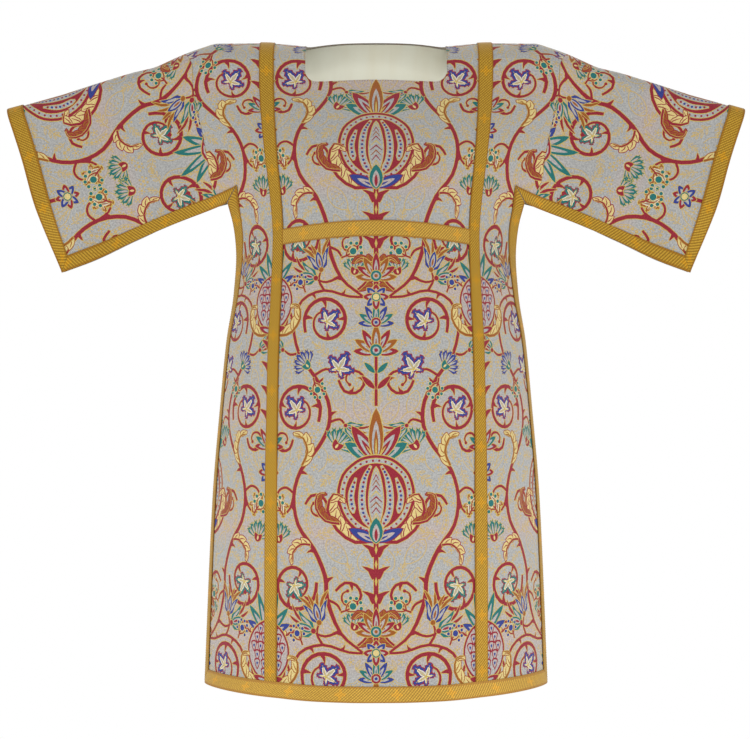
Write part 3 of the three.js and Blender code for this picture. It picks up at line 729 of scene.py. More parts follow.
def lining_finish():
    finish = Finish("beige sateen lining", roughness=0.6, sheen=0.1)
    streaks = finish.noise(6.0, 2.0)
    soft = finish.add("ShaderNodeMapping", {"Vector": finish.place, "Scale": (1.0, 0.16, 1.0)})
    tall = finish.noise(26.0, 3.0, 0.5, soft.outputs["Vector"])
    tone = finish.plus(finish.times(streaks, 0.45), finish.times(tall, 0.55))
    finish.colour(finish.ramp(tone, [(0.35, "#C6C3B0"), (0.5, "#CACABB"), (0.66, "#CED0C3")]))
    finish.relief(binding(finish, 0.0005, 0.0007, 0.3), 0.00004)
    return finish.material


lining_material = lining_finish()
stitch_material = thread_finish("sewing thread", "#94691B", "#7C5614", "#AC8030")
neck_stitch_material = thread_finish("neck stitching", "#6E4C2C", "#583A1E", "#84613C")
print("other finishes", [m.name for m in (lining_material, stitch_material, neck_stitch_material)])

# %% [markdown]
# ## Drawing the figures
# The brocade's figures are drawn as closed outlines on flat cloth, in millimetres. A figure is
# a list of (thread, outline) pairs in painting order: a later one lies on top. They could be
# painted into a picture, but that goes soft when it is looked at closely. The motifs are
# common ones: pomegranates, artichokes, palmettes, carnations, tulips and vine leaves.
#
# A stem is one stroke that swells and tapers: a smooth line through a few given knots,
# widened to both sides.

# %% Lines and stems


def points_of(pairs, scale=1.0):
    return np.asarray(pairs, float).reshape(-1, 2) * scale


def lengths(vectors):
    return np.maximum(np.hypot(vectors[:, 0], vectors[:, 1]), 1e-9)[:, None]


def curve(knots, steps=3, closed=False):
    """A smooth line through given knots."""
    p = points_of(knots)
    ends = (p[-1:], p[:2]) if closed else (2 * p[:1] - p[1:2], 2 * p[-1:] - p[-2:-1])
    q = np.vstack([ends[0], p, ends[1]])
    t = np.linspace(0, 1, steps, endpoint=False)[:, None]
    spans = []
    for a, b, c, d in zip(q[:-3], q[1:-2], q[2:-1], q[3:]):
        spans.append(0.5 * (2 * b + (c - a) * t + (2 * a - 5 * b + 4 * c - d) * t**2
                            + (3 * b - a - 3 * c + d) * t**3))
    if not closed:
        spans.append(p[-1:])
    return np.vstack(spans)


def closed(knots, steps=2):
    return curve(knots, steps, closed=True)


def crossways(line):
    run = np.gradient(line, axis=0)
    return np.column_stack([-run[:, 1], run[:, 0]]) / lengths(run)


def sides_of(line, half_widths):
    across = crossways(line)
    return line + across * half_widths[:, None], line - across * half_widths[:, None]


def share_along(line):
    steps = np.r_[0, np.cumsum(lengths(np.diff(line, axis=0))[:, 0])]
    return steps / steps[-1]


def read_at(where, walk, line):
    """The places of a line where a measure taken along it has these values."""
    return np.stack([np.interp(where, walk, column) for column in line.T], axis=-1)


def towards(angle):
    return np.array([np.cos(angle), np.sin(angle)])


def stem(knots, width, start=0.6, end=0.2, steps=3):
    """A tapering stem."""
    line = curve(knots, steps)
    taper = np.interp(share_along(line), [0, 0.12, 0.7, 1], [start, 1, 0.85, end])
    left, right = sides_of(line, width / 2 * taper)
    return np.vstack([left, right[::-1]])


def thread(knots, width, steps=3):
    """A fine line of even width with a pointed end."""
    return stem(knots, width, 1, 0.35, steps)


print("places round a stem", len(stem([(0, 0), (8, 30), (0, 60)], 6)))

# %% [markdown]
# Most figures have a fine gold line round them. Growing the outline and painting the larger
# one first gives it an even width. Where stems grow out of each other, all the gold is painted
# before all the crimson, or each branch would be cut off by a gold line.

# %% Rims, and placing a figure


def grown(outline, by):
    """The outline moved outwards all round."""
    edge = np.roll(outline, -1, 0) - outline
    edge = edge / lengths(edge)
    x, y = outline.T
    turn = np.sign(np.sum(x * np.roll(y, -1) - y * np.roll(x, -1)))
    normal = np.column_stack([edge[:, 1], -edge[:, 0]]) * turn
    both_sides = normal + np.roll(normal, 1, 0)
    both_sides = both_sides / lengths(both_sides)
    mitre = 1 / np.maximum((both_sides * normal).sum(1), 0.6)
    return outline + both_sides * (by * mitre)[:, None]


def rimmed(thread_name, outline, rim=1.1, rim_thread="gold"):
    return [(rim_thread, grown(outline, rim)), (thread_name, outline)]


def branched(lines, thread_name="crimson", rim=1.2):
    """Stems that grow out of each other: all their gold edges lie below all their bodies."""
    return [("gold", grown(line, rim)) for line in lines] + [(thread_name, line) for line in lines]


def moved(shapes, at=(0, 0), angle=0.0, size=1.0, flip=False):
    """Shapes mirrored, scaled, turned clockwise and placed."""
    c, s = np.cos(np.radians(angle)), np.sin(np.radians(angle))
    turn = np.array([[c, -s], [s, c]])
    flat = np.array([-1.0, 1.0]) if flip else np.array([1.0, 1.0])
    return [(name, (outline * flat * size) @ turn + np.array(at)) for name, outline in shapes]


def both(shapes):
    return shapes + moved(shapes, flip=True)


def disc(x, y, radius, sides=8):
    turn = np.arange(sides) * 2 * np.pi / sides
    return np.column_stack([x + radius * np.cos(turn), y + radius * np.sin(turn)])


print("a rimmed disc", [(name, len(outline)) for name, outline in rimmed("blue", disc(0, 0, 5))])

# %% [markdown]
# Petals and thorns are the smallest figures. Each points up from its base at the origin, so
# that it can be turned and set down anywhere. The coils of the stems are spirals.

# %% Petals, thorns and coils


def petal(reach, width, steps=2):
    """A pointed petal from its base at the origin."""
    knots = [(0, 0), (-0.42, 0.3), (-0.36, 0.7), (0, 1), (0.40, 0.66), (0.42, 0.28)]
    return closed(points_of(knots, (width, reach)), steps)


def hollow_petal(thread_name, reach, width, slit, slit_width, rim=1.1):
    """A gold-edged petal with the ground showing through its heart."""
    return rimmed(thread_name, petal(reach, width), rim) + [("ground", petal(slit, slit_width))]


def thorn(at, angle, reach, bend=0.3):
    """A small hooked leaf on a stem, as an outline."""
    knots = [(-0.20, -0.05), (-0.20, 0.42), (bend, 1.0), (0.16, 0.5), (0.24, -0.05)]
    return moved([("", closed(points_of(knots, reach)))], at, angle)[0][1]


def spiral(middle, radius, start, turns, way=1, tight=0.62, knots=15):
    """Knots of a stem that winds inwards from a circle, way 1 anticlockwise."""
    t = np.linspace(0, 1, knots)
    angle = np.radians(start) + way * 2 * np.pi * turns * t
    r = radius * (1 - tight * t**1.25)
    return middle + r[:, None] * towards(angle).T


def thorns_along(path, places, reach, way):
    """Hooked leaves on one side of a winding stem, at shares of its length."""
    s = share_along(path)
    found = []
    for t in places:
        at = read_at(t, s, path)
        ahead = read_at(min(1, t + 0.03), s, path) - at
        heading = np.degrees(np.arctan2(ahead[0], ahead[1]))
        found.append(thorn(at, heading + way * 52, reach * (1.1 - 0.4 * t), 0.28 * way))
    return found


print("places round a petal", len(petal(30, 12)), "and a thorn", len(thorn((0, 0), 0, 12)))

# %% [markdown]
# A vine leaf has five lobes with saw teeth. Its outline, drawn again smaller, gives the leaf
# its light heart.

# %% Vine leaves
LEAF_LOBES = [(-128, 0.62), (-66, 0.98), (0, 1.18), (66, 0.98), (128, 0.62)]


def lobed(lobes, notch, teeth, tooth):
    """A toothed leaf outline. lobes: direction in degrees from up, reach."""
    outline = []
    directions = [np.radians(90 - a) for a, _ in lobes]
    for k, (a, (_, reach)) in enumerate(zip(directions, lobes)):
        before = directions[k - 1] if k else a + 0.5
        after = directions[k + 1] if k + 1 < len(lobes) else a - 0.5
        tip = reach * towards(a)
        for flank, bend in ((0, before), (1, after)):
            middle = (a + bend) / 2
            valley = notch * reach * towards(middle)
            out = np.array([-np.sin(a), np.cos(a)]) * (1 if flank == 0 else -1)
            row = [valley]
            for j in range(teeth):
                t = (j + 0.35) / teeth
                swell = out * reach * 0.13 * np.sin(np.pi * min(1, t * 1.15))
                row.append(valley + (tip - valley) * t + swell)
                t = (j + 0.8) / teeth
                row.append(valley + (tip - valley) * t + swell * 0.8 + out * reach * tooth)
            outline += row if flank == 0 else row[::-1]
            if flank == 0:
                outline.append(tip)
    return points_of(outline)


def vine_leaf(reach, body="blue", rim="crimson", vein="gold"):
    """A five-lobed leaf with saw-toothed edges, its stalk end at the origin."""
    lobes = [(a, r * reach) for a, r in LEAF_LOBES]
    shapes = rimmed(body, lobed(lobes, 0.32, 3, 0.10), 1.5, rim)
    heart = lobed([(a, r * 0.70) for a, r in lobes], 0.30, 2, 0.05)
    shapes += [("cream", heart), ("ground", grown(heart, -1.4))]
    for a, r in lobes:
        tip = towards(np.radians(90 - a)) * r * 0.84
        shapes.append((vein, thread([(0, 0), tip], 2.0, 1)))
    return shapes


print("outlines of a vine leaf", len(vine_leaf(25)))

# %% [markdown]
# The flowers on the stems are seen from the side, as on old silks.

# %% Tulips, carnations and berries


def tulip(reach, cup="teal", flame="crimson"):
    """A cup of three petals with a flame of stamens."""
    shapes = []
    for lean in (-0.42, -0.14, 0.14, 0.42):
        line = points_of([(0.5, 0.60), (0.9, 0.92), (1.6, 1.2)], (lean * reach, reach))
        shapes += rimmed(flame, stem(line, reach * 0.12, 0.5, 0.15, 2), 0.9)
    side = [(0, 0), (0.3, 0.12), (0.38, 0.45), (0.56, 0.86), (0.24, 0.6), (0.1, 0.25)]
    light = [(0.14, 0.16), (0.27, 0.40), (0.38, 0.68)]
    for way in (-reach, reach):
        shapes += rimmed(cup, closed(points_of(side, (way, reach))))
        shapes.append(("ground", stem(points_of(light, (way, reach)), reach * 0.11, 0.4, 0.2, 2)))
    shapes += rimmed(cup, petal(reach * 0.82, reach * 0.36))
    shapes.append(("ground", petal(reach * 0.62, reach * 0.20) + (0, reach * 0.08)))
    shapes.append((flame, petal(reach * 0.36, reach * 0.10) + (0, reach * 0.16)))
    return shapes + rimmed(flame, disc(0, 0, reach * 0.11), 0.9)


def carnation(reach, fan="teal", cup="crimson"):
    """A fan of narrow notched petals over a striped cup, its base at the origin."""
    shapes = []
    for lean in (-62, 62, -42, 42, -21, 21, 0):
        long = reach * (1.0 - 0.002 * abs(lean))
        flank = [(0.16 * reach, long * 0.78), (0.07 * reach, long * 0.86), (0.09 * reach, long)]
        blade = points_of([(-1.2, 4)] + [(-x, y) for x, y in flank] + [(0, long * 0.90)]
                          + flank[::-1] + [(1.2, 4)])
        heart = petal(long * 0.56, reach * 0.11) + (0, reach * 0.24)
        shapes += moved(rimmed(fan, blade, 0.9) + [("ground", heart)], (0, 0), lean)
    bell = [(0, -0.12), (-0.20, 0), (-0.24, 0.3), (0, 0.22), (0.24, 0.3), (0.20, 0)]
    shapes += rimmed(cup, closed(points_of(bell, reach)))
    return shapes + [("palegold", petal(reach * 0.24, reach * 0.12) - (0, reach * 0.04))]


def berries(reach, fruit="teal"):
    """A round cluster on a forked stalk, the stalk's foot at the origin."""
    top = reach * 1.25
    stalks = [stem([(0, 0), (-1.5, top * 0.5), (0, top)], 2.8, 1, 0.6, 2)]
    for side in (-1, 1):
        fork = [(-1, top * 0.4), (side * reach * 0.34, top * 0.66), (side * reach * 0.5, top)]
        stalks.append(stem(fork, 2.2, 1, 0.6, 2))
    shapes = branched(stalks, "crimson", 0.8)
    for k in range(7):
        at = reach * 0.78 * towards(np.radians(-30 + 40 * k)) + (0, top)
        shapes += rimmed(fruit, disc(*at, reach * 0.17, 7), 0.9, "palegold")
    return shapes + rimmed(fruit, disc(0, top, reach * 0.32, 9), 1.1, "palegold")


print("outlines of a tulip, a carnation and a cluster", len(tulip(40)), len(carnation(34)), len(berries(18)))

# %% [markdown]
# A plume is a curling acanthus leaf. Each of its leaflets is placed by a share of the rib's
# length and how far out it reaches, so the same few lines draw a plume of any curl.

# %% Plumes
# how far along its share of the rib, how far out and how far ahead
LEAFLET = [(0, -0.1, 0), (0.1, 0.62, 0), (0.45, 1.12, 0.22), (0.8, 1.12, 0.62), (0.9, 0.62, 0.36),
           (1, 0.05, 0.05)]
LEAFLET_VEIN = [(0.3, 0.1, 0.05), (0.5, 0.6, 0.2), (0.75, 0.95, 0.48)]


def plume(knots, width, lobes=6, fill="palegold", rim="crimson", steps=4):
    """A row of overlapping leaflets along the outer side of a rib."""
    line = curve(knots, steps)
    s = share_along(line)
    body = width * np.sin(np.pi * np.clip(s * 0.84 + 0.14, 0, 1)) ** 0.6
    run = np.gradient(line, axis=0)
    run = run / lengths(run)
    across = crossways(line)
    gap = 1 / lobes

    def laid(k, knots):
        return [read_at(k * gap + t * gap, s, line + across * body[:, None] * out + run * width * ahead)
                for t, out, ahead in knots]

    shapes = []
    for k in reversed(range(lobes)):
        shapes += rimmed(fill, closed(laid(k, LEAFLET)), 1.5, rim)
        shapes.append((rim, thread(laid(k, LEAFLET_VEIN), 2.0, 1)))
    return shapes + rimmed(rim, stem(knots, width * 0.34, 1, 0.3, 2), 0.9)


print("outlines of a plume", len(plume([(0, 0), (20, 4), (34, 24), (24, 40)], 12)))

# %% [markdown]
# Between the coloured figures the ground carries very fine gold drawing. It is hardly seen
# from afar, but it gives the plain parts of the cloth their glitter.

# %% Fine gold drawing


def feather(knots, width):
    """A large open leaf in fine gold thread only, with a vein to each side at every step."""
    line = curve(knots, 4)
    body = width * np.sin(np.pi * np.clip(share_along(line) * 0.96 + 0.02, 0, 1)) ** 0.8
    left, right = sides_of(line, body)
    outline = np.vstack([left, right[::-1]])
    shapes = [("tan", grown(outline, 0.9)), ("ground", grown(outline, -0.5))]
    for k in range(1, len(line) - 2):
        for edge in (left, right):
            tip = line[k] + (edge[min(k + 1, len(edge) - 1)] - line[k]) * 0.9
            bend = (line[k] + tip) / 2 + (line[k + 1] - line[k]) * 0.55
            shapes.append(("tan", thread([line[k], bend, tip], 1.3, 1)))
    return shapes + [("tan", thread(line[::2], 1.7, 1))]


def pod(knots, width):
    """Two fine threads with a row of small diamonds between them."""
    line = curve(knots, 4)
    shapes = [("tan", thread(side[::2], 1.2, 1)) for side in sides_of(line, np.full(len(line), width / 2))]
    for k in range(1, len(line) - 1):
        ahead = (line[k + 1] - line[k - 1]) / 4
        aside = np.array([-ahead[1], ahead[0]]) * 0.8
        shapes.append(("tan", line[k] + np.array([-ahead, -aside, ahead, aside])))
    return shapes


def tendril(knots):
    return [("tan", thread(knots, 1.7, 4)), ("tan", disc(*knots[-1], 2.4, 6))]


def sprig(at, angle, reach):
    """Three fine thread leaves."""
    shapes = []
    for lean, size in ((-42, 0.8), (0, 1), (42, 0.8)):
        blade = petal(reach * size, reach * 0.34)
        vein = thread([(0, 0), (0, reach * size * 0.8)], 1.2, 1)
        shapes += moved([("tan", blade), ("ground", grown(blade, -1.2)), ("tan", vein)], (0, 0), lean)
    return moved(shapes, at, angle)


def seeds(at):
    """A ring of six seeds round a larger one."""
    shapes = [("tan", disc(*at, 3.0, 7))]
    for k in range(6):
        shapes.append(("tan", disc(*(at + 7.0 * towards(np.radians(60 * k))), 2.2, 6)))
    return shapes


print("outlines of a feather", len(feather([(0, 0), (10, 40), (0, 80)], 15)))

# %% [markdown]
# The great pomegranate is the main figure: a fruit with a beaded rind and a slit down its
# front, under a crown of petals, held by two pairs of plumes.

# %% The pomegranate
CROWN_HEIGHT = 126
BEADS = 34
SLIT_COLOURS = ("crimson", "gold", "crimson", "ochre")


def whole_fruit(half):
    """A fruit's outline from the smooth line up its right side."""
    return np.vstack([half, (half * (-1, 1))[::-1][1:-1]])


def crown():
    shapes = []
    for lean, reach, name in ((-62, 58, "teal"), (62, 58, "teal"), (-36, 68, "crimson"),
                              (36, 68, "crimson"), (0, 84, "ochre")):
        blade = hollow_petal(name, reach, 25, reach * 0.76, 15, 1.3)
        blade += [(name, petal(reach * 0.6, 8)), ("gold", petal(reach * 0.42, 3.4))]
        shapes += moved(blade, (0, CROWN_HEIGHT), lean)
    return shapes


def rind(outline):
    """The nested borders of the fruit, with a string of beads between two of them."""
    shapes = rimmed("crimson", outline, 1.5)
    shapes += [("gold", grown(outline, -4.4)), ("ground", grown(outline, -5.7))]
    string = closed(grown(outline, -8.8))
    string = np.vstack([string, string[:1]])
    walk = share_along(string)
    for t in (np.arange(BEADS) + 0.5) / BEADS:
        shapes.append(("crimson", disc(*read_at(t, walk, string), 2.1, 6)))
    return shapes + [("gold", grown(outline, -12.0)), ("crimson", grown(outline, -13.4))]


def segments():
    """Two light segments to each side of the slit, with a row of dots in each."""
    shapes = []
    for side in (-1, 1):
        for reach, wide in ((22, 11), (39, 9)):
            line = points_of([(0.45, 17), (0.95, 40), (1.05, 68), (0.85, 96), (0.4, 116)], (side * reach, 1))
            if reach > 30:
                line = line[1:4]
            shapes += rimmed("ground", stem(line, wide, 0.25, 0.25, 4), 1.2)
            line = curve(line, 4)
            for k in range(1, len(line) - 1):
                shapes.append(("crimson" if k % 2 else "blue", disc(*line[k], 2.3, 6)))
    return shapes


def slit():
    """The open front of the fruit, filled with a ladder of small chevrons."""
    drop = [(0, 14), (9, 36), (12, 62), (8, 92), (0, 114), (-8, 92), (-12, 62), (-9, 36)]
    shapes = rimmed("ground", closed(drop, 3), 1.4)
    for row in range(10):
        y = 26 + row * 9
        w = np.interp(y, [14, 62, 114], [2, 10, 2])
        shapes.append((SLIT_COLOURS[row % 4], thread([(-w, y - 5), (0, y + 4), (w, y - 5)], 3.4, 1)))
    return shapes


def pomegranate():
    """The large fruit of the main axis, its base at the origin, about 150 wide and 230 tall."""
    half = curve([(0, 0), (26, 6), (52, 30), (64, 66), (56, 102), (34, 124), (16, 132), (0, 134)])
    shapes = crown() + rind(whole_fruit(half)) + segments() + slit()
    shapes += both(plume([(2, -4), (34, -8), (64, 12), (80, 44), (70, 70), (54, 64)], 17, 8))
    shapes += both(plume([(60, 22), (84, 26), (100, 46), (98, 68), (86, 72)], 11, 6, "ochre", steps=3))
    leaf = rimmed("blue", petal(48, 19), 1.4, "crimson")
    leaf += [("ground", petal(34, 10)), ("blue", petal(22, 4))]
    shapes += both(moved(leaf, (0, -6), 66))
    shapes += rimmed("teal", petal(42, 24) - (0, 10), 1.3)
    return shapes + [("ground", petal(30, 13) - (0, 8)), ("crimson", petal(21, 6) - (0, 6))]


print("outlines of the pomegranate", len(pomegranate()))

# %% [markdown]
# The artichoke stands on the side axis, where two mirrored repeats meet. Its scales are drawn
# from the top down, each row over the one above. Palmettes and rosettes go between the fruits.

# %% The artichoke, palmettes and rosettes


def scale_rows():
    """Rows of crimson scales, as many in each row as the fruit is wide there."""
    shapes = []
    for row in range(6):
        y = 84 - row * 14.5
        reach = np.interp(y, [0, 26, 54, 80, 98], [12, 35, 39, 28, 12])
        count = max(1, int(reach / 7.6))
        for k in range(count):
            x = (k - (count - 1) / 2) * 15
            scale = closed([(x - 7, y + 4), (x, y - 12), (x + 7, y + 4), (x, y + 8)])
            here = np.array([x, y - 1])
            shapes.append(("crimson", scale))
            for name, size in (("ground", 0.70), ("blue", 0.3)):
                shapes.append((name, (scale - here) * size + here))
    return shapes


def artichoke():
    """The flower of the side axis, base at the origin, about 110 wide and 190 tall."""
    shapes = []
    for lean, reach in ((-66, 50), (66, 50), (-42, 62), (42, 62), (-17, 72), (17, 72)):
        name = "teal" if abs(lean) < 50 else "blue"
        shapes += moved(hollow_petal(name, reach, 16, reach * 0.74, 8), (0, 74), lean)
    half = curve([(0, 0), (22, 4), (40, 26), (44, 54), (32, 80), (14, 94), (0, 98)])
    outline = whole_fruit(half)
    shapes += rimmed("crimson", outline, 1.4) + [("ground", grown(outline, -3.4))] + scale_rows()
    shapes += both(plume([(0, -2), (22, -10), (46, -4), (62, 18), (58, 40), (44, 42)], 13, 5,
                         rim="ochre", steps=3))
    return shapes + both(moved(hollow_petal("crimson", 32, 13, 21, 6), (0, -4), 76))


def palmette(main="crimson", other="ochre", heart="teal"):
    """A fan of petals, base at the origin."""
    shapes = []
    for k, lean in enumerate((-88, 88, -60, 60, -32, 32, 0)):
        reach = 46 - abs(lean) * 0.10
        name = (main, other)[(k // 2) % 2]
        blade = hollow_petal(name, reach, 15, reach * 0.72, 8) + [(name, petal(reach * 0.5, 3.5))]
        shapes += moved(blade, (0, 0), lean)
    shapes += rimmed(heart, disc(0, 3, 10, 10), 1.3)
    return shapes + [("ground", disc(0, 3, 6, 9)), (main, disc(0, 3, 3.4, 7))]


def rosette(radius):
    shapes = []
    for k in range(8):
        name = "blue" if k % 2 else "crimson"
        blade = hollow_petal(name, radius, radius * 0.62, radius * 0.72, radius * 0.28, 1.0)
        shapes += moved(blade, (0, 0), 45 * k)
    eye = disc(0, 0, radius * 0.26, 9)
    return shapes + [("gold", grown(eye, 2.8)), ("teal", grown(eye, 1.8)), ("palegold", eye)]


print("outlines of the artichoke and a palmette", len(artichoke()), len(palmette()))

# %% [markdown]
# All figures are set out on one repeat, 390 mm wide and 580 mm high, mirrored about its
# middle, so only its right half is drawn. The fine gold on the ground comes first.

# %% The repeat: fine gold on the ground
UNIT_HALF = 195.0
UNIT_RISE = 580.0
UNIT_LOW = -146.0
FEATHERS = [
    ([(42, -120), (60, -84), (56, -44), (70, -6)], 16),
    ([(20, 268), (34, 300), (24, 332), (40, 366)], 15),
    ([(176, 148), (160, 176), (168, 214), (150, 240)], 13),
    ([(30, 448), (62, 456), (74, 486), (62, 520)], 15),
    ([(186, -112), (170, -84), (176, -40), (160, -12)], 12),
]
PODS = [
    ([(98, -112), (118, -92), (146, -84), (172, -96)], 9),
    ([(108, 44), (118, 70), (112, 104), (124, 136)], 9),
    ([(22, 396), (34, 384), (50, 380), (62, 360)], 8),
    ([(92, 470), (112, 486), (124, 512), (118, 540)], 9),
    ([(178, 300), (172, 330), (182, 356), (176, 376)], 8),
]
TENDRILS = [
    [(96, 150), (84, 160), (80, 178), (90, 190), (100, 182), (95, 174)],
    [(40, 236), (52, 248), (66, 244), (68, 230), (58, 228)],
    [(110, 340), (124, 350), (126, 366), (114, 372), (108, 362)],
    [(140, 476), (150, 490), (164, 490), (168, 476), (158, 472)],
    [(20, 24), (30, 10), (28, -8), (16, -12), (12, -2)],
    [(92, -20), (84, -36), (90, -52), (104, -50), (102, -40)],
    [(160, 60), (176, 68), (184, 84), (174, 94), (166, 86)],
    [(50, 556), (40, 540), (22, 540), (18, 552), (28, 556)],
]
SPRIGS = [((168, 262), 30, 24), ((110, -70), 200, 22), ((34, 410), -70, 22), ((150, 120), 140, 20),
          ((120, 420), 60, 20), ((78, 560), 120, 22), ((14, 500), -20, 22)]
SEEDS = [(108, 206), (182, 12), (16, 350), (132, 548), (100, 8), (62, 300), (180, 450), (26, 470),
         (152, 330)]


def fine_gold():
    shapes = []
    for knots, width in FEATHERS:
        shapes += feather(knots, width)
    for knots, width in PODS:
        shapes += pod(knots, width)
    for knots in TENDRILS:
        shapes += tendril(knots)
    for at, angle, reach in SPRIGS:
        shapes += sprig(at, angle, reach)
    for at in SEEDS:
        shapes += seeds(at)
    return shapes


print("outlines of fine gold", len(fine_gold()))

# %% [markdown]
# One main stem winds up the whole repeat. Coils grow out of it, and twigs run to the flowers.

# %% The repeat: winding stems
MAIN_STEM = [(22, -143), (58, -112), (80, -60), (84, -20), (104, 24), (134, 62), (142, 108), (128, 152),
             (96, 190), (78, 226), (80, 266), (104, 306), (134, 344), (146, 392), (130, 432), (88, 448),
             (44, 437), (2, 436)]
MAIN_THORNS = [(0.06, 1), (0.17, -1), (0.24, 1), (0.34, 1), (0.42, -1), (0.47, 1), (0.56, -1),
               (0.63, -1), (0.70, 1), (0.78, 1), (0.86, -1), (0.93, 1)]
# the knots of a coil, the way it turns, and the places of its thorns
LARGE_COILS = [
    (spiral((136, 250), 44, 205, 1.25, -1, 0.56), -1, (0.1, 0.3, 0.5, 0.72)),
    (spiral((140, -38), 42, 170, 1.3, 1, 0.56), 1, (0.12, 0.32, 0.52, 0.74)),
    (spiral((84, 396), 42, -25, 1.25, 1, 0.56), 1, (0.1, 0.3, 0.52, 0.72)),
]
SMALL_COILS = [
    (spiral((164, 200), 20, 175, 1.1, 1, 0.62, 9), 1, (0.3, 0.6)),
    (spiral((44, -52), 24, 20, 1.15, 1, 0.62, 9), 1, (0.25, 0.55)),
    (spiral((98, 92), 22, 10, 1.1, 1, 0.6, 9), 1, (0.3, 0.6)),
    (spiral((38, 300), 24, 0, 1.15, -1, 0.62, 9), -1, (0.25, 0.55)),
    (spiral((170, 400), 21, 180, 1.15, -1, 0.62, 9), -1, (0.3, 0.6)),
]
TWIGS = [
    [(140, 112), (156, 122), (170, 118), (176, 106), (168, 98)],
    [(104, 308), (84, 318), (66, 312)],
    [(80, -58), (64, -66), (56, -80)],
    [(134, 344), (152, 342), (166, 350)],
    [(60, -110), (84, -118), (104, -112)],
    [(142, 110), (150, 88), (166, 74)],
    [(88, 448), (98, 466), (94, 484)],
    [(80, 230), (60, 236), (50, 226)],
]


def coiled(coils, width, hook, tip):
    """The outlines of coils: a stem, its thorns and a round end."""
    outlines = []
    for path, way, places in coils:
        outlines.append(stem(path, width, 0.8, 0.45, 2))
        outlines += thorns_along(path, places, hook, -way)
        outlines.append(disc(*path[-1], tip))
    return outlines


def winding_stems():
    outlines = [stem(MAIN_STEM, 7.2, 0.5, 0.5)]
    for t, way in MAIN_THORNS:
        outlines += thorns_along(curve(MAIN_STEM), (t,), 15, way)
    outlines += coiled(LARGE_COILS, 6.6, 15, 3.6) + coiled(SMALL_COILS, 5.0, 11, 2.8)
    return outlines + [stem(knots, 4.4, 1, 0.5) for knots in TWIGS]


print("outlines of the stems", len(winding_stems()))

# %% [markdown]
# Leaves go inside the large coils, and flowers and berries at the ends of the twigs, each
# turned the way its twig runs.

# %% The repeat: leaves, flowers and plumes
CARRIED = [
    (vine_leaf(25), (137, 250), 40),
    (vine_leaf(24, "teal"), (141, -38), -150),
    (vine_leaf(24), (83, 396), -50),
    (vine_leaf(27), (62, 318), -30),
    (vine_leaf(24, "ochre", "gold", "ochre"), (166, 96), 120),
    (carnation(36), (66, 190), -36),
    (carnation(34), (172, 34), 12),
    (carnation(32, "blue", "teal"), (116, 322), 50),
    (carnation(30), (36, -104), -18),
    (tulip(42), (104, -110), 74),
    (tulip(40, "blue", "ochre"), (94, 484), 14),
    (tulip(34), (168, 350), 62),
    (tulip(30), (50, 226), -120),
    (berries(19), (164, 76), 40),
    (berries(18), (58, -78), -64),
    (berries(17), (106, 304), -160),
    (berries(17, "blue"), (124, 446), 30),
]
PLUMES = [
    ([(150, 420), (172, 430), (182, 456), (170, 474), (158, 466)], 12, 5, "palegold", "crimson"),
    ([(30, -132), (14, -116), (12, -92), (24, -80), (34, -88)], 11, 4, "ochre", "crimson"),
    ([(126, 160), (116, 182), (124, 204), (140, 208)], 11, 4, "palegold", "ochre"),
    ([(110, 30), (128, 30), (144, 16), (144, 0)], 10, 4, "palegold", "crimson"),
]


def carried():
    shapes = []
    for figure, at, angle in CARRIED:
        shapes += moved(figure, at, angle)
    for knots, width, lobes, fill, rim in PLUMES:
        shapes += plume(knots, width, lobes, fill, rim, 3)
    return shapes


print("outlines carried by the stems", len(carried()))

# %% [markdown]
# The large fruits stand on straight thorned stalks on the two axes of the mirrored pattern.

# %% The repeat: the two axes


def thorned_stalk(knots, width, rows, lean, reach):
    """A straight stalk with a pair of thorns at each of some heights."""
    outlines = [stem(knots, width, 1, 1, 1)]
    for y in rows:
        for way in (-1, 1):
            outlines.append(thorn((way * 2, y), way * lean, reach, way * 0.3))
    return branched(outlines)


def main_axis():
    shapes = thorned_stalk([(0, -140), (0, -80), (0, 0), (0, 40)], 8, (-100, -60, -20, 16), 34, 26)
    for y in (-112, -84, -56, -28, 0, 24):
        shapes.append(("gold", np.array([(0, y - 8), (2.4, y), (0, y + 8), (-2.4, y)])))
    shapes += moved(pomegranate(), (0, 44))
    shapes += thorned_stalk([(0, 258), (0, 300), (0, 352)], 5, (), 0, 0)
    shapes += both(moved(rimmed("crimson", petal(30, 10), 1.0), (2, 286), 46))
    shapes += both(moved(rimmed("teal", petal(24, 9), 1.0), (2, 312), 46))
    shapes += moved(palmette(), (0, 346)) + moved(palmette("blue", "teal", "crimson"), (0, 392), 0, 0.8)
    shapes += moved(rosette(21), (0, 436))
    return shapes + moved(palmette("ochre", "crimson"), (0, -112), 0, 0.9)


def side_axis():
    shapes = thorned_stalk([(0, 150), (0, 250), (0, 380)], 6.5, (236, 276, 316, 352), 36, 24)
    shapes += moved(artichoke(), (0, 384))
    shapes += moved(palmette("crimson", "teal", "blue"), (0, 188), 0, 0.85)
    return shapes + moved(rosette(22), (0, 146))


print("outlines on the axes", len(main_axis()), len(side_axis()))

# %% [markdown]
# No space wider than a finger stays empty on such cloth. The small leaves that fill it could
# be set by hand too, but there are hundreds. Instead the emptiest place is looked for again
# and again, and the more room there is, the larger the leaf that goes there.

# %% The repeat: filling the bare ground
FILL_SEED = 11
FILL_CELL = 6.0
FILL_LEAST = 6.5
FILL_FAR = 34.0
ROOM_LARGE = 14
ROOM_SMALL = 9


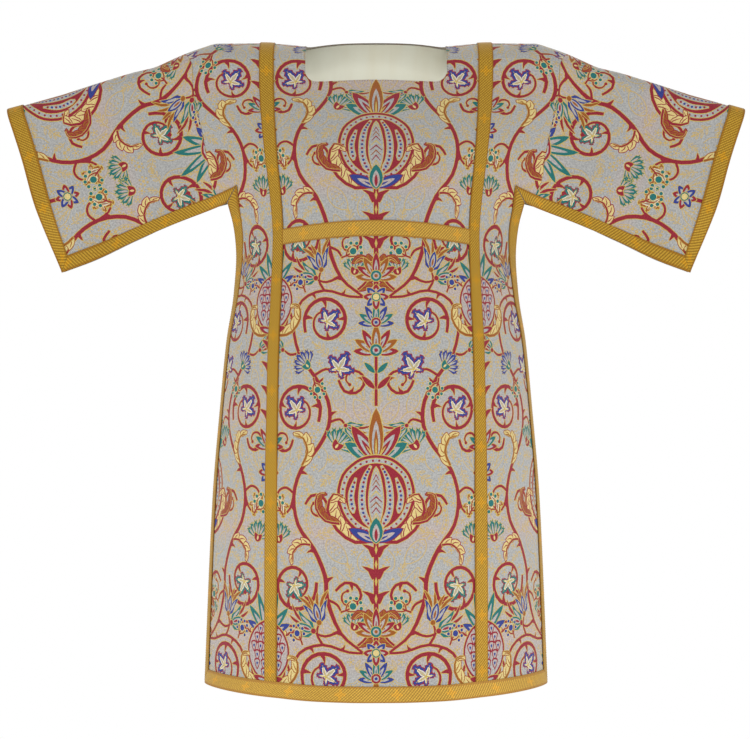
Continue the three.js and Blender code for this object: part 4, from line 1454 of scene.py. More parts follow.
def leaf_spray(reach):
    """A bent twig with pairs of small leaves, for open ground."""
    twig = points_of([(0, -1), (0.12, -0.3), (-0.05, 0.35), (0.1, 0.95)], reach)
    shapes = [("tan", thread(twig, 1.7, 2))]
    for k, (y, size) in enumerate(((-0.62, 0.62), (-0.2, 0.72), (0.24, 0.6))):
        for side in (-1, 1):
            leaf = petal(reach * size, reach * 0.27, 1)
            heart = petal(reach * size * 0.62, reach * 0.10, 1) + (0, reach * 0.12)
            shapes += moved([("tan", leaf), ("ground", heart)], (0, y * reach), side * (52 - 8 * k))
    return shapes + moved([("tan", petal(reach * 0.5, reach * 0.24, 1))], (reach * 0.05, reach * 0.5), 4)


def scale_leaf(reach):
    """A broad leaf in tan outline, filled with rows of scales."""
    knots = [(0, -1), (-0.5, -0.45), (-0.46, 0.35), (0.12, 1.05), (0.5, 0.3), (0.42, -0.5)]
    outline = closed(points_of(knots, reach))
    shapes = [("tan", grown(outline, 0.8)), ("ground", grown(outline, -0.9))]
    for k, y in enumerate(np.arange(-0.62, 0.7, 0.30)):
        wide = reach * (0.34 - 0.20 * abs(y))
        for x in ((-1, 1) if k % 2 else (-1.6, 0, 1.6)):
            scale = points_of([(-0.42, 0.0), (0, -0.72), (0.42, 0.0), (0, -0.34)], wide)
            shapes.append(("tan", scale + (x * wide * 0.5, y * reach)))
    return shapes


def dotted_ring():
    shapes = [("tan", disc(0, 0, 2.6, 6))]
    for a in np.arange(5) * 2 * math.pi / 5:
        shapes.append(("tan", disc(*(5 * towards(a)), 1.7, 5)))
    return shapes


def bare_ground(shapes):
    """A grid of places on the half repeat, with the room round each of them."""
    taken = np.unique(np.round(np.vstack([line for _, line in shapes]) / 2), axis=0) * 2
    taken = np.vstack([taken, taken * (-1, 1) + (2 * UNIT_HALF, 0)])
    taken = np.vstack([taken + (0, step) for step in (-UNIT_RISE, 0, UNIT_RISE)])
    free = np.array([(x, y) for x in np.arange(6, UNIT_HALF - 4, FILL_CELL)
                     for y in np.arange(UNIT_LOW + 4, UNIT_LOW + UNIT_RISE - 4, FILL_CELL)])
    x, y = taken.T
    inside = ((x > -FILL_FAR) & (x < UNIT_HALF + FILL_FAR)
              & (y > UNIT_LOW - FILL_FAR) & (y < UNIT_LOW + UNIT_RISE + FILL_FAR))
    room = np.full(len(free), FILL_FAR)
    for at in taken[inside]:
        near = np.abs(free[:, 1] - at[1]) < FILL_FAR
        room[near] = np.minimum(room[near], np.hypot(*(free[near] - at).T))
    return free, room


def filling(shapes):
    """Fine tan leaves for the empty ground, the emptiest places first."""
    rng = np.random.default_rng(FILL_SEED)
    free, room = bare_ground(shapes)
    added = []
    while room.max() > FILL_LEAST:
        here = int(room.argmax())
        most, at = room[here], free[here] + rng.uniform(-1, 1, 2)
        angle = rng.uniform(0, 360)
        if most > ROOM_LARGE:
            size = min(most * 1.25, 25)
            motif = scale_leaf(size) if rng.random() < 0.5 else leaf_spray(size)
        elif most > ROOM_SMALL:
            size = most * 1.2
            motif = leaf_spray(size)
        else:
            size = most * 0.8
            motif = dotted_ring()
        added += moved(motif, at, angle)
        room = np.minimum(room, np.hypot(*(free - at).T) - size * 0.8)
    return added


def unit():
    """One whole repeat, every figure in its painting order."""
    shapes = both(fine_gold() + branched(winding_stems()) + carried())
    shapes += main_axis() + moved(side_axis(), (UNIT_HALF, 0))
    return both(filling(shapes)) + shapes


repeat_shapes = unit()
print("outlines in one repeat", len(repeat_shapes))

# %% [markdown]
# ## Resolving the repeat
# On a brocade the figures aren't printed: wefts of other colours are brought to the face
# where a figure needs them. So each figure is real geometry here, with edges as sharp as
# woven ones at any distance, which a painted picture wouldn't have.
#
# The drawing overlaps itself, as a draughtsman's does, but a weave has one thread on top at
# each place. So half a repeat is resolved first, by dividing it into triangles along every
# outline. These tools divide a sheet, tell what lies inside an outline, and thin a line.

# %% Tools for outlines
THREADS = ["ground", "crimson", "blue", "teal", "ochre", "gold", "palegold", "tan", "cream"]
MERGE_BELOW = 0.02
NO_AREA = 1e-7


def ring_edges(first, count):
    return [(first + k, first + (k + 1) % count) for k in range(count)]


def windings(outline, places):
    """How often a closed outline goes round each place."""
    turns = np.zeros(len(places), int)
    x, y = places.T
    for (x0, y0), (x1, y1) in zip(outline, np.roll(outline, -1, 0)):
        if y0 == y1:
            continue
        upward = y1 > y0
        crosses = (y >= min(y0, y1)) & (y < max(y0, y1))
        beyond = x0 + (y - y0) * (x1 - x0) / (y1 - y0) > x
        turns += np.where(crosses & beyond, 1 if upward else -1, 0)
    return turns


def doubled_area(corners):
    """Twice the area of each flat triangle, less than nothing for a clockwise one."""
    one = corners[:, 1] - corners[:, 0]
    other = corners[:, 2] - corners[:, 0]
    return one[:, 0] * other[:, 1] - one[:, 1] * other[:, 0]


def triangulated(places, edges):
    """Places, anticlockwise triangles and the middles of a constrained triangulation."""
    flat = [Vector(p) for p in places]
    points, _, faces, *_ = delaunay_2d_cdt(flat, edges, [], 0, MERGE_BELOW, False)
    points = np.array([p[:] for p in points])
    faces = np.array(faces)
    corners = points[faces]
    area = doubled_area(corners)
    faces = np.where((area < 0)[:, None], faces[:, ::-1], faces)
    kept = np.abs(area) > NO_AREA
    return points, faces[kept], corners[kept].mean(1)


def thinned(line, allowed):
    """Which places of an open line to keep, so that it moves by no more than allowed."""
    kept = np.zeros(len(line), bool)
    kept[[0, -1]] = True
    spans = [(0, len(line) - 1)]
    while spans:
        first, last = spans.pop()
        if last - first < 2:
            continue
        run = line[last] - line[first]
        length = math.hypot(*run)
        inner = line[first + 1:last] - line[first]
        if length < 1e-6:
            off = np.hypot(*inner.T)
        else:
            off = np.abs(inner[:, 0] * run[1] - inner[:, 1] * run[0]) / length
        worst = int(off.argmax())
        if off[worst] > allowed:
            middle = first + 1 + worst
            kept[middle] = True
            spans += [(first, middle), (middle, last)]
    return kept


print("triangles of a square", len(triangulated([(0, 0), (1, 0), (1, 1), (0, 1)], ring_edges(0, 4))[1]))

# %% [markdown]
# Each triangle takes the thread of the topmost outline round it. Only the edges between two
# different threads matter then. They join into chains.

# %% Tools for the edges between threads


def painted(middles, shapes):
    """The topmost thread at each place, painting the shapes in their order."""
    thread = np.zeros(len(middles), int)
    order = np.argsort(middles[:, 1])
    heights = middles[order, 1]
    for name, line in shapes:
        start, end = np.searchsorted(heights, [line[:, 1].min(), line[:, 1].max()])
        some = order[start:end]
        some = some[(middles[some, 0] > line[:, 0].min()) & (middles[some, 0] < line[:, 0].max())]
        covered = some[windings(line, middles[some]) != 0]
        thread[covered] = THREADS.index(name)
    return thread


def chains_of(edges, sides, fixed):
    """Runs of edges that part the same two threads, as lists of vertices."""
    at = {}
    for k, (a, b) in enumerate(edges.tolist()):
        at.setdefault(a, []).append(k)
        at.setdefault(b, []).append(k)
    ends = {v for v, some in at.items() if len(some) != 2 or v in fixed}
    left = set(range(len(edges)))
    chains = []

    def follow(start, edge):
        chain, here = [start], start
        while True:
            left.discard(edge)
            a, b = edges[edge]
            here = int(b if here == a else a)
            chain.append(here)
            if here in ends or here == start:
                return chain
            edge = next(k for k in at[here] if k != edge)

    for vertex in sorted(ends):
        for edge in at[vertex]:
            if edge in left:
                first = edge
                threads = sides[first] if edges[first][0] == vertex else sides[first][::-1]
                chains.append((follow(vertex, edge), threads))
    while left:
        first = min(left)
        vertex = int(edges[first][0])
        chains.append((follow(vertex, first), sides[first]))
    return chains


def beside_edges(faces, thread):
    """Every edge once, and the threads beside it, with 0 outside the half repeat."""
    one = np.vstack([faces[:, [0, 1]], faces[:, [1, 2]], faces[:, [2, 0]]])
    flipped = one[:, 0] > one[:, 1]
    found, which = np.unique(np.sort(one, axis=1), axis=0, return_inverse=True)
    beside = np.zeros((len(found), 2), int)
    beside[which.ravel(), flipped.astype(int)] = np.tile(thread, 3)
    return found, beside


two = np.array([(0, 1, 2), (0, 2, 3)])
print("edges of two triangles", len(beside_edges(two, np.array([1, 2]))[0]))

# %% [markdown]
# Thinning the chains saves more than half of the triangles of a panel, and moves no edge by
# more than about a thread's width. The copies of the half repeat have to meet exactly, so
# places close to its sides move onto them.

# %% Resolve half a repeat
THIN_BY = 0.14
SNAP_WITHIN = 0.08


def copies_over(shapes, low, high):
    """The shapes and their neighbours' copies, as far as they reach into a box."""
    steps = [(2 * UNIT_HALF * column, UNIT_RISE * row) for column in (-1, 0, 1) for row in (-1, 0, 1)]
    found = []
    for name, line in shapes:
        for step in steps:
            placed = line + step
            if (placed.max(0) > low).all() and (placed.min(0) < high).all():
                found.append((name, placed))
    return found


def thinned_chains(points, edges, sides, fixed):
    """The edges that are left after thinning each chain, with their threads."""
    kept_edges, kept_sides = [], []
    for chain, threads in chains_of(edges, sides, fixed):
        keep = thinned(points[chain], THIN_BY)
        if len(chain) > 3 and chain[0] == chain[-1] and keep.sum() < 4:
            keep[[len(chain) // 3, 2 * len(chain) // 3]] = True
        run = [v for v, k in zip(chain, keep) if k]
        kept_edges += list(zip(run[:-1], run[1:]))
        kept_sides += [threads] * (len(run) - 1)
    return kept_edges, kept_sides


def resolved_repeat(drawn):
    """Half a repeat as places, the edges between threads and the threads beside each edge."""
    low = np.array([0.0, UNIT_LOW])
    high = np.array([UNIT_HALF, UNIT_LOW + UNIT_RISE])
    shapes = copies_over(drawn, low, high)
    places = [np.array([low, (high[0], low[1]), high, (low[0], high[1])])]
    edges = ring_edges(0, 4)
    count = 4
    for _, line in shapes:
        places.append(line)
        edges += ring_edges(count, len(line))
        count += len(line)
    points, faces, middles = triangulated(np.vstack(places), edges)
    inside = (middles > low).all(1) & (middles < high).all(1)
    found, beside = beside_edges(faces[inside], painted(middles[inside], shapes) + 1)
    rim = (beside == 0).any(1)
    parted = (beside[:, 0] != beside[:, 1]) & ~rim
    fixed = set(found[rim].ravel().tolist())
    kept_edges, kept_sides = thinned_chains(points, found[parted], beside[parted], fixed)
    visible = len(kept_edges)
    used, numbered = np.unique(np.vstack([kept_edges, found[rim]]), return_inverse=True)
    points = points[used]
    for side in (low, high):
        points = np.where(np.abs(points - side) < SNAP_WITHIN, side, points)
    return points, numbered.reshape(-1, 2), np.vstack([kept_sides, beside[rim]]), visible


repeat_places, repeat_edges, repeat_sides, visible_count = resolved_repeat(repeat_shapes)
print("places in half a repeat", len(repeat_places), "visible edges", visible_count)

# %% [markdown]
# To find the thread at any place, walk along a level line from the left edge of the half
# repeat to the place. Each edge passed changes the thread from the one on its left to the
# one on its right, so the changes simply add up.

# %% The thread at a place
edge_from = repeat_places[repeat_edges[:, 0]]
edge_to = repeat_places[repeat_edges[:, 1]]
rising = edge_to[:, 1] > edge_from[:, 1]
edge_change = (repeat_sides[:, 1] - repeat_sides[:, 0]) * np.where(rising, 1, -1)
edge_low = np.where(rising[:, None], edge_from, edge_to)
edge_high = np.where(rising[:, None], edge_to, edge_from)


def thread_at(places):
    """The thread on top at places of the endless pattern."""
    x = np.abs((places[:, 0] + UNIT_HALF) % (2 * UNIT_HALF) - UNIT_HALF)
    y = (places[:, 1] - UNIT_LOW) % UNIT_RISE + UNIT_LOW
    order = np.argsort(y)
    heights = y[order]
    first = np.searchsorted(heights, edge_low[:, 1])
    number = np.searchsorted(heights, edge_high[:, 1]) - first
    edge = np.repeat(np.arange(len(number)), number)
    step = np.arange(len(edge)) - np.repeat(np.cumsum(number) - number, number)
    place = order[first[edge] + step]
    low, high = edge_low[edge], edge_high[edge]
    crossing = low[:, 0] + (y[place] - low[:, 1]) * (high[:, 0] - low[:, 0]) / (high[:, 1] - low[:, 1])
    passed = crossing < x[place]
    total = np.bincount(place[passed], weights=edge_change[edge][passed], minlength=len(places))
    return np.clip(np.round(total).astype(int) - 1, 0, len(THREADS) - 1)


up_the_middle = np.array([(1.0, y) for y in range(0, 400, 50)])
print("threads up the middle", [THREADS[k] for k in thread_at(up_the_middle)])

# %% [markdown]
# ## From the repeat to a shell
# A panel's half is triangulated along its cutting line, the pattern's edges and a loose grid
# that lets the cloth bend, and mirrored. The shell adds a plain inner wall and the edge.

# %% Tools for a woven panel
CLOTH_CELL = 12.0
INNER_CELL = 15.0
CLOTH_WALL = 1.0
SEAM_STEP = 8.0


def grid_inside(outline, cell):
    """Places of a staggered grid that lie inside an outline."""
    low, high = outline.min(0), outline.max(0)
    rows = np.arange(low[1] + cell / 2, high[1], cell)
    columns = np.arange(low[0] + cell / 2, high[0], cell)
    places = np.array([(x + (k % 2) * cell / 2, y) for k, y in enumerate(rows) for x in columns])
    return places[windings(outline, places) != 0]


def pattern_inside(half):
    """The pattern's places near the right half of a panel, and the edges between them."""
    low, high = half.min(0) - 1, half.max(0) + 1
    places, edges = [half], ring_edges(0, len(half))
    count = len(half)
    mine = repeat_edges[:visible_count]
    for row in range(-3, 4):
        for column, way in ((0, 1), (1, -1), (1, 1), (2, -1)):
            copy = repeat_places * (way, 1) + (2 * UNIT_HALF * column, UNIT_RISE * row)
            near = ((copy > low) & (copy < high)).all(1)
            some = mine[near[mine].any(1)]
            if len(some):
                used, numbered = np.unique(some, return_inverse=True)
                places.append(copy[used])
                edges += (numbered.reshape(-1, 2) + count).tolist()
                count += len(used)
    return places, edges


def woven(half):
    """A mirrored panel from the outline of its right half, in the pattern's own places."""
    count = round(abs(half[-1, 1] - half[0, 1]) / SEAM_STEP)
    middle_line = np.column_stack([np.zeros(count), np.linspace(half[-1, 1], half[0, 1], count)])
    half = np.vstack([half, middle_line[1:-1]])
    places, edges = pattern_inside(half)
    places.append(grid_inside(half, CLOTH_CELL))
    points, faces, middles = triangulated(np.vstack(places), edges)
    kept = windings(half, middles) != 0
    thread = thread_at(middles[kept])
    used, faces = np.unique(faces[kept], return_inverse=True)
    points, faces = points[used], faces.reshape(-1, 3)
    # mirror it, sharing the places on the middle line
    on_line = np.abs(points[:, 0]) < 1e-4
    points[on_line, 0] = 0
    twin = np.arange(len(points))
    twin[~on_line] = len(points) + np.arange((~on_line).sum())
    points = np.vstack([points, points[~on_line] * (-1, 1)])
    return points, np.vstack([faces, twin[faces][:, ::-1]]), np.r_[thread, thread]


def border_ring(faces):
    """The vertices round the edge of a divided panel, in order."""
    edges = np.vstack([faces[:, [0, 1]], faces[:, [1, 2]], faces[:, [2, 0]]])
    _, index, count = np.unique(np.sort(edges, axis=1), axis=0, return_index=True, return_counts=True)
    after = dict(edges[index[count == 1]].tolist())
    start = next(iter(after))
    ring = [start]
    while after[ring[-1]] != start:
        ring.append(after[ring[-1]])
    if len(ring) != len(after):
        raise ValueError(f"{len(after) - len(ring)} edges lie outside the border's ring")
    return np.array(ring)


print("border of two triangles", border_ring(two))

# %% [markdown]
# The flat places are then laid on the worn form. The wrong side is plain, so a loose grid does
# there, and a strip joins the two round the border. Each panel keeps a map of the flat cloth,
# so the weave in its material runs straight along the warp.

# %% Tools for a cloth shell


def new_mesh(name, places, faces, slots, normals, cloth_map, materials):
    """A smooth mesh object with its materials, its normals and its map of the flat cloth."""
    mesh = bpy.data.meshes.new(name)
    mesh.from_pydata((places * MM).tolist(), [], faces)
    for material in materials:
        mesh.materials.append(material)
    mesh.polygons.foreach_set("material_index", np.asarray(slots, np.int32))
    mesh.polygons.foreach_set("use_smooth", np.ones(len(mesh.polygons), bool))
    corner = np.empty(len(mesh.loops), np.int32)
    mesh.loops.foreach_get("vertex_index", corner)
    layer = mesh.uv_layers.new(name="flat_cloth")
    layer.uv.foreach_set("vector", (cloth_map[corner] * MM).astype(np.float32).ravel())
    mesh.normals_split_custom_set_from_vertices(normals.tolist())
    mesh.update()
    piece = bpy.data.objects.new(name, mesh)
    bpy.context.scene.collection.objects.link(piece)
    return piece


def plain_wall(border):
    """A loosely divided sheet inside a border: places, triangles and where the border went."""
    loose = np.vstack([border, grid_inside(border, INNER_CELL)])
    points, _, faces, origin, *_ = delaunay_2d_cdt(
        [Vector(p) for p in loose], ring_edges(0, len(border)), [], 0, 1e-5, True)
    points = np.array([p[:] for p in points])
    faces = np.array(faces)
    faces = faces[windings(border, points[faces].mean(1)) != 0]
    place_of = {old: new for new, olds in enumerate(origin) for old in olds}
    ring = np.array([place_of[k] for k in range(len(border))])
    clockwise = doubled_area(points[faces]) < 0
    return points, np.where(clockwise[:, None], faces[:, ::-1], faces), ring


def shell(name, kind, half, to_flat):
    """A panel's thin shell: the woven face, a plain inner wall and the edge between them."""
    pattern, faces, thread = woven(half)
    faces = faces[:, ::-1]
    ring = border_ring(faces)
    points, inner_faces, inner_ring = plain_wall(pattern[ring])
    outer_places, outer_normals = worn(kind, to_flat(pattern))
    inner_places, inner_normals = worn(kind, to_flat(points), -CLOTH_WALL)
    shift = len(pattern)
    rim = np.column_stack([np.roll(ring, -1), ring, inner_ring + shift, np.roll(inner_ring, -1) + shift])
    all_faces = faces.tolist() + (inner_faces + shift).tolist() + rim.tolist()
    if kind != "back":
        all_faces = [face[::-1] for face in all_faces]
    wrong_side = np.full(len(inner_faces), len(THREADS))
    cut_edge = np.full(len(rim), len(THREADS) + 1)
    print(name, "triangles", len(faces) + len(inner_faces) + 2 * len(rim))
    return {
        "places": np.vstack([outer_places, inner_places]),
        "normals": np.vstack([outer_normals, -inner_normals]),
        "faces": all_faces,
        "map": np.vstack([pattern, points]),
        "slots": np.r_[thread, wrong_side, cut_edge],
    }


def mirror_cloth(cloth):
    twin = dict(cloth)
    twin["places"] = cloth["places"] * (-1, 1, 1)
    twin["normals"] = cloth["normals"] * (-1, 1, 1)
    twin["faces"] = [face[::-1] for face in cloth["faces"]]
    return twin


def cloth_object(name, cloth, materials):
    return new_mesh(name, cloth["places"], cloth["faces"], cloth["slots"], cloth["normals"],
                    cloth["map"], materials)


def polygon_area(outline):
    x, y = outline.T
    return abs(np.sum(x * np.roll(y, -1) - y * np.roll(x, -1))) / 2

# %% [markdown]
# ## The cut of the panels
# The outlines below are the cutting lines of the four brocade pieces, drawn on flat cloth.
# The front has a square neck with rounded corners, the back only a shallow curve.

# %% Cutting lines
NECK_FRONT = 75
NECK_CORNER = 20
NECK_BACK = 13
NECK_BACK_POWER = 1.45
NECK_RIPPLE = 2.5
BORDER_STEP = 7.0
ARMHOLE_GAP = 0.4


def resampled(line, step):
    """The same line with even steps."""
    walk = np.r_[0, np.cumsum(np.hypot(*np.diff(line, axis=0).T))]
    count = max(2, round(walk[-1] / step) + 1)
    return read_at(np.linspace(0, walk[-1], count), walk, line)


def front_neck(across):
    """Drop of the front neckline at a distance from the middle, within the corner's start."""
    corner_start = NECK_HALF - NECK_CORNER
    share = np.minimum(1, np.abs(across) / corner_start)
    past = np.clip(np.abs(across) - corner_start, 0, NECK_CORNER)
    corner = NECK_CORNER - np.sqrt(np.maximum(0, NECK_CORNER**2 - past**2))
    return NECK_FRONT - corner - NECK_RIPPLE * (1 + np.cos(np.pi * share)) / 2


def half_border(side):
    """The right half of a body panel's outline, from the middle of the neck round to the hem."""
    if side == "front":
        turn = np.radians(np.linspace(0, 90, 9))
        corner_start = NECK_HALF - NECK_CORNER
        corner = corner_start + NECK_CORNER * np.sin(turn)
        across = np.r_[np.linspace(0, corner_start, 14)[:-1], corner]
        neck = np.column_stack([across, down_of(side, front_neck(across))])
        upright = np.column_stack([np.full(8, NECK_HALF), np.linspace(neck[-1, 1], 0, 9)[1:]])
        neck = np.vstack([neck, upright])
    else:
        across = np.linspace(0, NECK_HALF, 18)
        drop = NECK_BACK * (1 - (across / NECK_HALF) ** 2) ** NECK_BACK_POWER
        near = warp_walk[side][:24]
        neck = np.column_stack([across, np.interp(np.arccos(1 - drop / BODY_TURN),
                                                  np.linspace(0, np.pi / 2, 24), near)])
    top = np.column_stack([np.linspace(NECK_HALF, half_length(side, 0), 30), np.zeros(30)])
    down = np.linspace(0, float(down_of(side, HEM_MIDDLE)), 170)
    edge = np.column_stack([side_across(side, down), down])
    hem = np.column_stack([np.linspace(edge[-1, 0], 0, 60), np.full(60, down[-1])])
    return np.vstack([neck, top[1:], resampled(edge, BORDER_STEP)[1:], hem[1:]])


def whole(half, flip):
    return np.vstack([half, (half * flip)[::-1][1:-1]])


ARMPIT_PLACE = (256.5, -278)


def seam_end():
    """Where the armhole seam passes under the upper edge of the underarm galloon."""
    along = np.linspace(0, 0.28, 400)
    x, z = underarm["inner_x"](along), underarm["inner_z"](along)
    inside = x < level["cut"](drop_at(x, z)) + ARMHOLE_GAP
    last = along[inside][-1]
    return float(drop_at(underarm["inner_x"](last), underarm["inner_z"](last)))


def half_sleeve():
    """Half the outline of the left sleeve: down the seam, along the underarm, up the cuff."""
    drop = np.linspace(0, 1, 50) ** 1.5 * seam_end()
    cut = level["cut"](drop)
    seam = np.column_stack([cut + ARMHOLE_GAP, body_height("front", cut, drop)])
    along = np.linspace(0, 1, 50)
    under = np.column_stack([underarm["edge_x"](along), underarm["edge_z"](along)])
    under[0, 0] += ARMHOLE_GAP
    open_end = np.column_stack([cuff["edge_x"](along), cuff["edge_z"](along)])[::-1]
    seen = np.vstack([seam, under, open_end[1:]])
    front = sleeve_flat(seen[:, 0], seen[:, 1])
    front[0, 1] = 0
    front[-1, 1] = 0
    return resampled(front, BORDER_STEP)


halves = {side: half_border(side) for side in FACING}
halves["sleeve"] = half_sleeve()
borders = {kind: whole(half, (1, -1) if kind == "sleeve" else (-1, 1)) for kind, half in halves.items()}
for kind, border in borders.items():
    spread = border.max(0) - border.min(0)
    print(kind, "cut from", spread.round(), "mm, area", round(polygon_area(border) / 1e6, 3), "m2")

# %% [markdown]
# ## Laying the repeat on the panels
# The weaver's repeat runs up the cloth, and the cutter centres it on each panel. The sleeves
# are cut with the cloth turned a quarter turn, so their figures lie on their side, and the
# two sleeves mirror each other.

# %% The pattern's places on each panel
FLOWER_HEIGHT = 118.0
FLOWER_DROP = 188.0
SLEEVE_ALONG = 470.0


def body_swap(side):
    """The pattern's (across, up) to the panel's (across, down); the same step leads back."""
    middle = FLOWER_HEIGHT + float(down_of(side, FLOWER_DROP))
    return lambda places: np.column_stack([places[:, 0], middle - places[:, 1]])


def sleeve_to_flat(places):
    return np.column_stack([SLEEVE_ALONG + places[:, 1], places[:, 0]])


def sleeve_to_pattern(places):
    return np.column_stack([places[:, 1], places[:, 0] - SLEEVE_ALONG])


print("the flower's middle lies at", SLEEVE_ALONG, "mm along a sleeve")

# %% [markdown]
# Now the four brocade pieces are woven, each on its own cut. The right sleeve is the left one
# mirrored, as a tailor cuts a pair of sleeves from folded cloth.

# %% Weave the body panels and the sleeves
cloths = {}
for side in FACING:
    swap = body_swap(side)
    cloths[side] = shell(f"{side}_panel", side, swap(halves[side]), swap)
cloths["sleeve_left"] = shell("sleeve", "sleeve", sleeve_to_pattern(halves["sleeve"]), sleeve_to_flat)
cloths["sleeve_right"] = mirror_cloth(cloths["sleeve_left"])

front_cloth = cloth_object("front_panel_brocade", cloths["front"], brocade_finishes)
back_cloth = cloth_object("back_panel_brocade", cloths["back"], brocade_finishes)
sleeve_cloths = {name: cloth_object(f"sleeve_{name}_brocade", cloths[f"sleeve_{name}"], brocade_finishes)
                 for name in ("left", "right")}
print("woven pieces", [piece.name for piece in (front_cloth, back_cloth, *sleeve_cloths.values())])

# %% [markdown]
# ## Galloon bands
# A band is sewn flat on the panel, so it is drawn as a strip between two lines on the flat
# cloth and laid on the form like the panel, a little above it. Corners are mitred: the two
# lines simply end at different places.

# %% Tools for strips
BAND_STEP = 6.0


def line_at(across, down):
    return np.column_stack([across, down])


def strip_places(kind, one, other, shares, lift):
    """Places and normals of a strip between two matched lines, row by row."""
    rows = one[:, None, :] * (1 - shares)[None, :, None] + other[:, None, :] * shares[None, :, None]
    heights = np.broadcast_to(lift, rows.shape[:2]).ravel()
    flat = rows.reshape(-1, 2)
    if isinstance(kind, str):
        return worn(kind, flat, heights)
    places, normals = np.empty((len(flat), 3)), np.empty((len(flat), 3))
    kinds = np.repeat(kind, len(shares))
    for name in set(kind):
        mine = kinds == name
        places[mine], normals[mine] = worn(name, flat[mine], heights[mine])
    return places, normals


def matched(one, other):
    """Two lines with the same rows, in even steps of their middle line."""
    middle = (one + other) / 2
    walk = np.r_[0, np.cumsum(np.hypot(*np.diff(middle, axis=0).T))]
    rows = np.linspace(0, walk[-1], max(2, round(walk[-1] / BAND_STEP) + 1))
    return [read_at(rows, walk, line) for line in (one, other)]


def closed_strip(rows, columns):
    """Quads of a closed strip: an upper grid, a lower one and the edge all round."""
    grid = np.arange(rows * columns).reshape(rows, columns)
    quads = np.stack([grid[:-1, :-1], grid[1:, :-1], grid[1:, 1:], grid[:-1, 1:]], -1).reshape(-1, 4)
    loop = np.r_[grid[0], grid[1:, -1], grid[-1, -2::-1], grid[-2:0:-1, 0]]
    lower = rows * columns
    edge = np.column_stack([loop, np.roll(loop, -1), np.roll(loop, -1) + lower, loop + lower])
    return np.vstack([quads, quads[:, ::-1] + lower, edge])


print("faces of a closed strip of 3 by 4 places", len(closed_strip(3, 4)))

# %% [markdown]
# The galloon is sewn down with small running stitches near both selvedges. Dots in the
# material would stay flat, so each stitch is a low pyramid with soft normals, which takes the
# light as a bead of thread does.

# %% Stitches
STITCH_STEP = 4.2
STITCH_LENGTH = 2.4
STITCH_HALF = 0.32


def stitch_row(line, out, step=STITCH_STEP, length=STITCH_LENGTH, half=STITCH_HALF):
    """Small running stitches along a line: places, normals and triangles, five places each."""
    run = np.r_[0, np.cumsum(np.linalg.norm(np.diff(line, axis=0), axis=1))]
    starts = np.arange(step, run[-1] - step, step)
    first, middle, last = (read_at(starts + d, run, line) for d in (0, length / 2, length))
    up = read_at(starts + length / 2, run, out)
    up /= np.linalg.norm(up, axis=1)[:, None]
    ahead = last - first
    ahead /= np.linalg.norm(ahead, axis=1)[:, None]
    aside = np.cross(up, ahead)
    places = np.stack([first - up * 0.2, middle + aside * half - up * 0.1, last - up * 0.2,
                       middle - aside * half - up * 0.1, middle + up * 0.3], axis=1).reshape(-1, 3)
    normals = np.stack([up - ahead, up + aside, up + ahead, up - aside, up], axis=1).reshape(-1, 3)
    normals /= np.linalg.norm(normals, axis=1)[:, None]
    one = np.array([[0, 3, 4], [3, 2, 4], [2, 1, 4], [1, 0, 4]])
    faces = (one[None] + 5 * np.arange(len(starts))[:, None, None]).reshape(-1, 3)
    return places, normals, faces


straight = np.outer(np.linspace(0, 100, 20), (1, 0, 0))
print("stitches in 100 mm", len(stitch_row(straight, np.full((20, 3), (0.0, 0, 1)))[2]) // 4)

# %% [markdown]
# Braid thins to a selvedge at both edges, so its upper side is a low arch that drops over its
# last few millimetres. The rib and the small crosses in its material follow a map of its own.

# %% Braid
BAND_LOW = 0.3
BAND_EDGE = 1.3
BAND_HIGH = 2.1
BAND_SHARES = np.array([0, 0.02, 0.06, 0.12, 0.25, 0.38, 0.5, 0.62, 0.75, 0.88, 0.94, 0.98, 1])
WIDEST_MAP = 1.2 * GALLOON
STITCH_INSET = 1.7


def braid(kind, one, other):
    """The closed strip of a braid: its places, normals, map and quads."""
    rows, columns = len(one), len(BAND_SHARES)
    crown = BAND_EDGE + (BAND_HIGH - BAND_EDGE) * (1 - np.abs(2 * BAND_SHARES - 1) ** 10)
    top, top_normals = strip_places(kind, one, other, BAND_SHARES, crown)
    under, under_normals = strip_places(kind, one, other, BAND_SHARES, BAND_LOW)
    faces = closed_strip(rows, columns)
    corner = top[faces[0]]
    if np.cross(corner[1] - corner[0], corner[2] - corner[0]) @ top_normals[0] < 0:
        faces = faces[:, ::-1]
    grid = top.reshape(rows, columns, 3)
    centre = grid[:, columns // 2]
    walk = np.r_[0, np.cumsum(np.linalg.norm(np.diff(centre, axis=0), axis=1))]
    width = np.minimum(np.linalg.norm(grid[:, -1] - grid[:, 0], axis=1), WIDEST_MAP)
    across = (BAND_SHARES[None, :] - 0.5) * width[:, None]
    braid_map = np.column_stack([np.repeat(walk, columns), across.ravel()])
    return (np.vstack([top, under]), np.vstack([top_normals, -under_normals]),
            np.vstack([braid_map, braid_map]), faces)


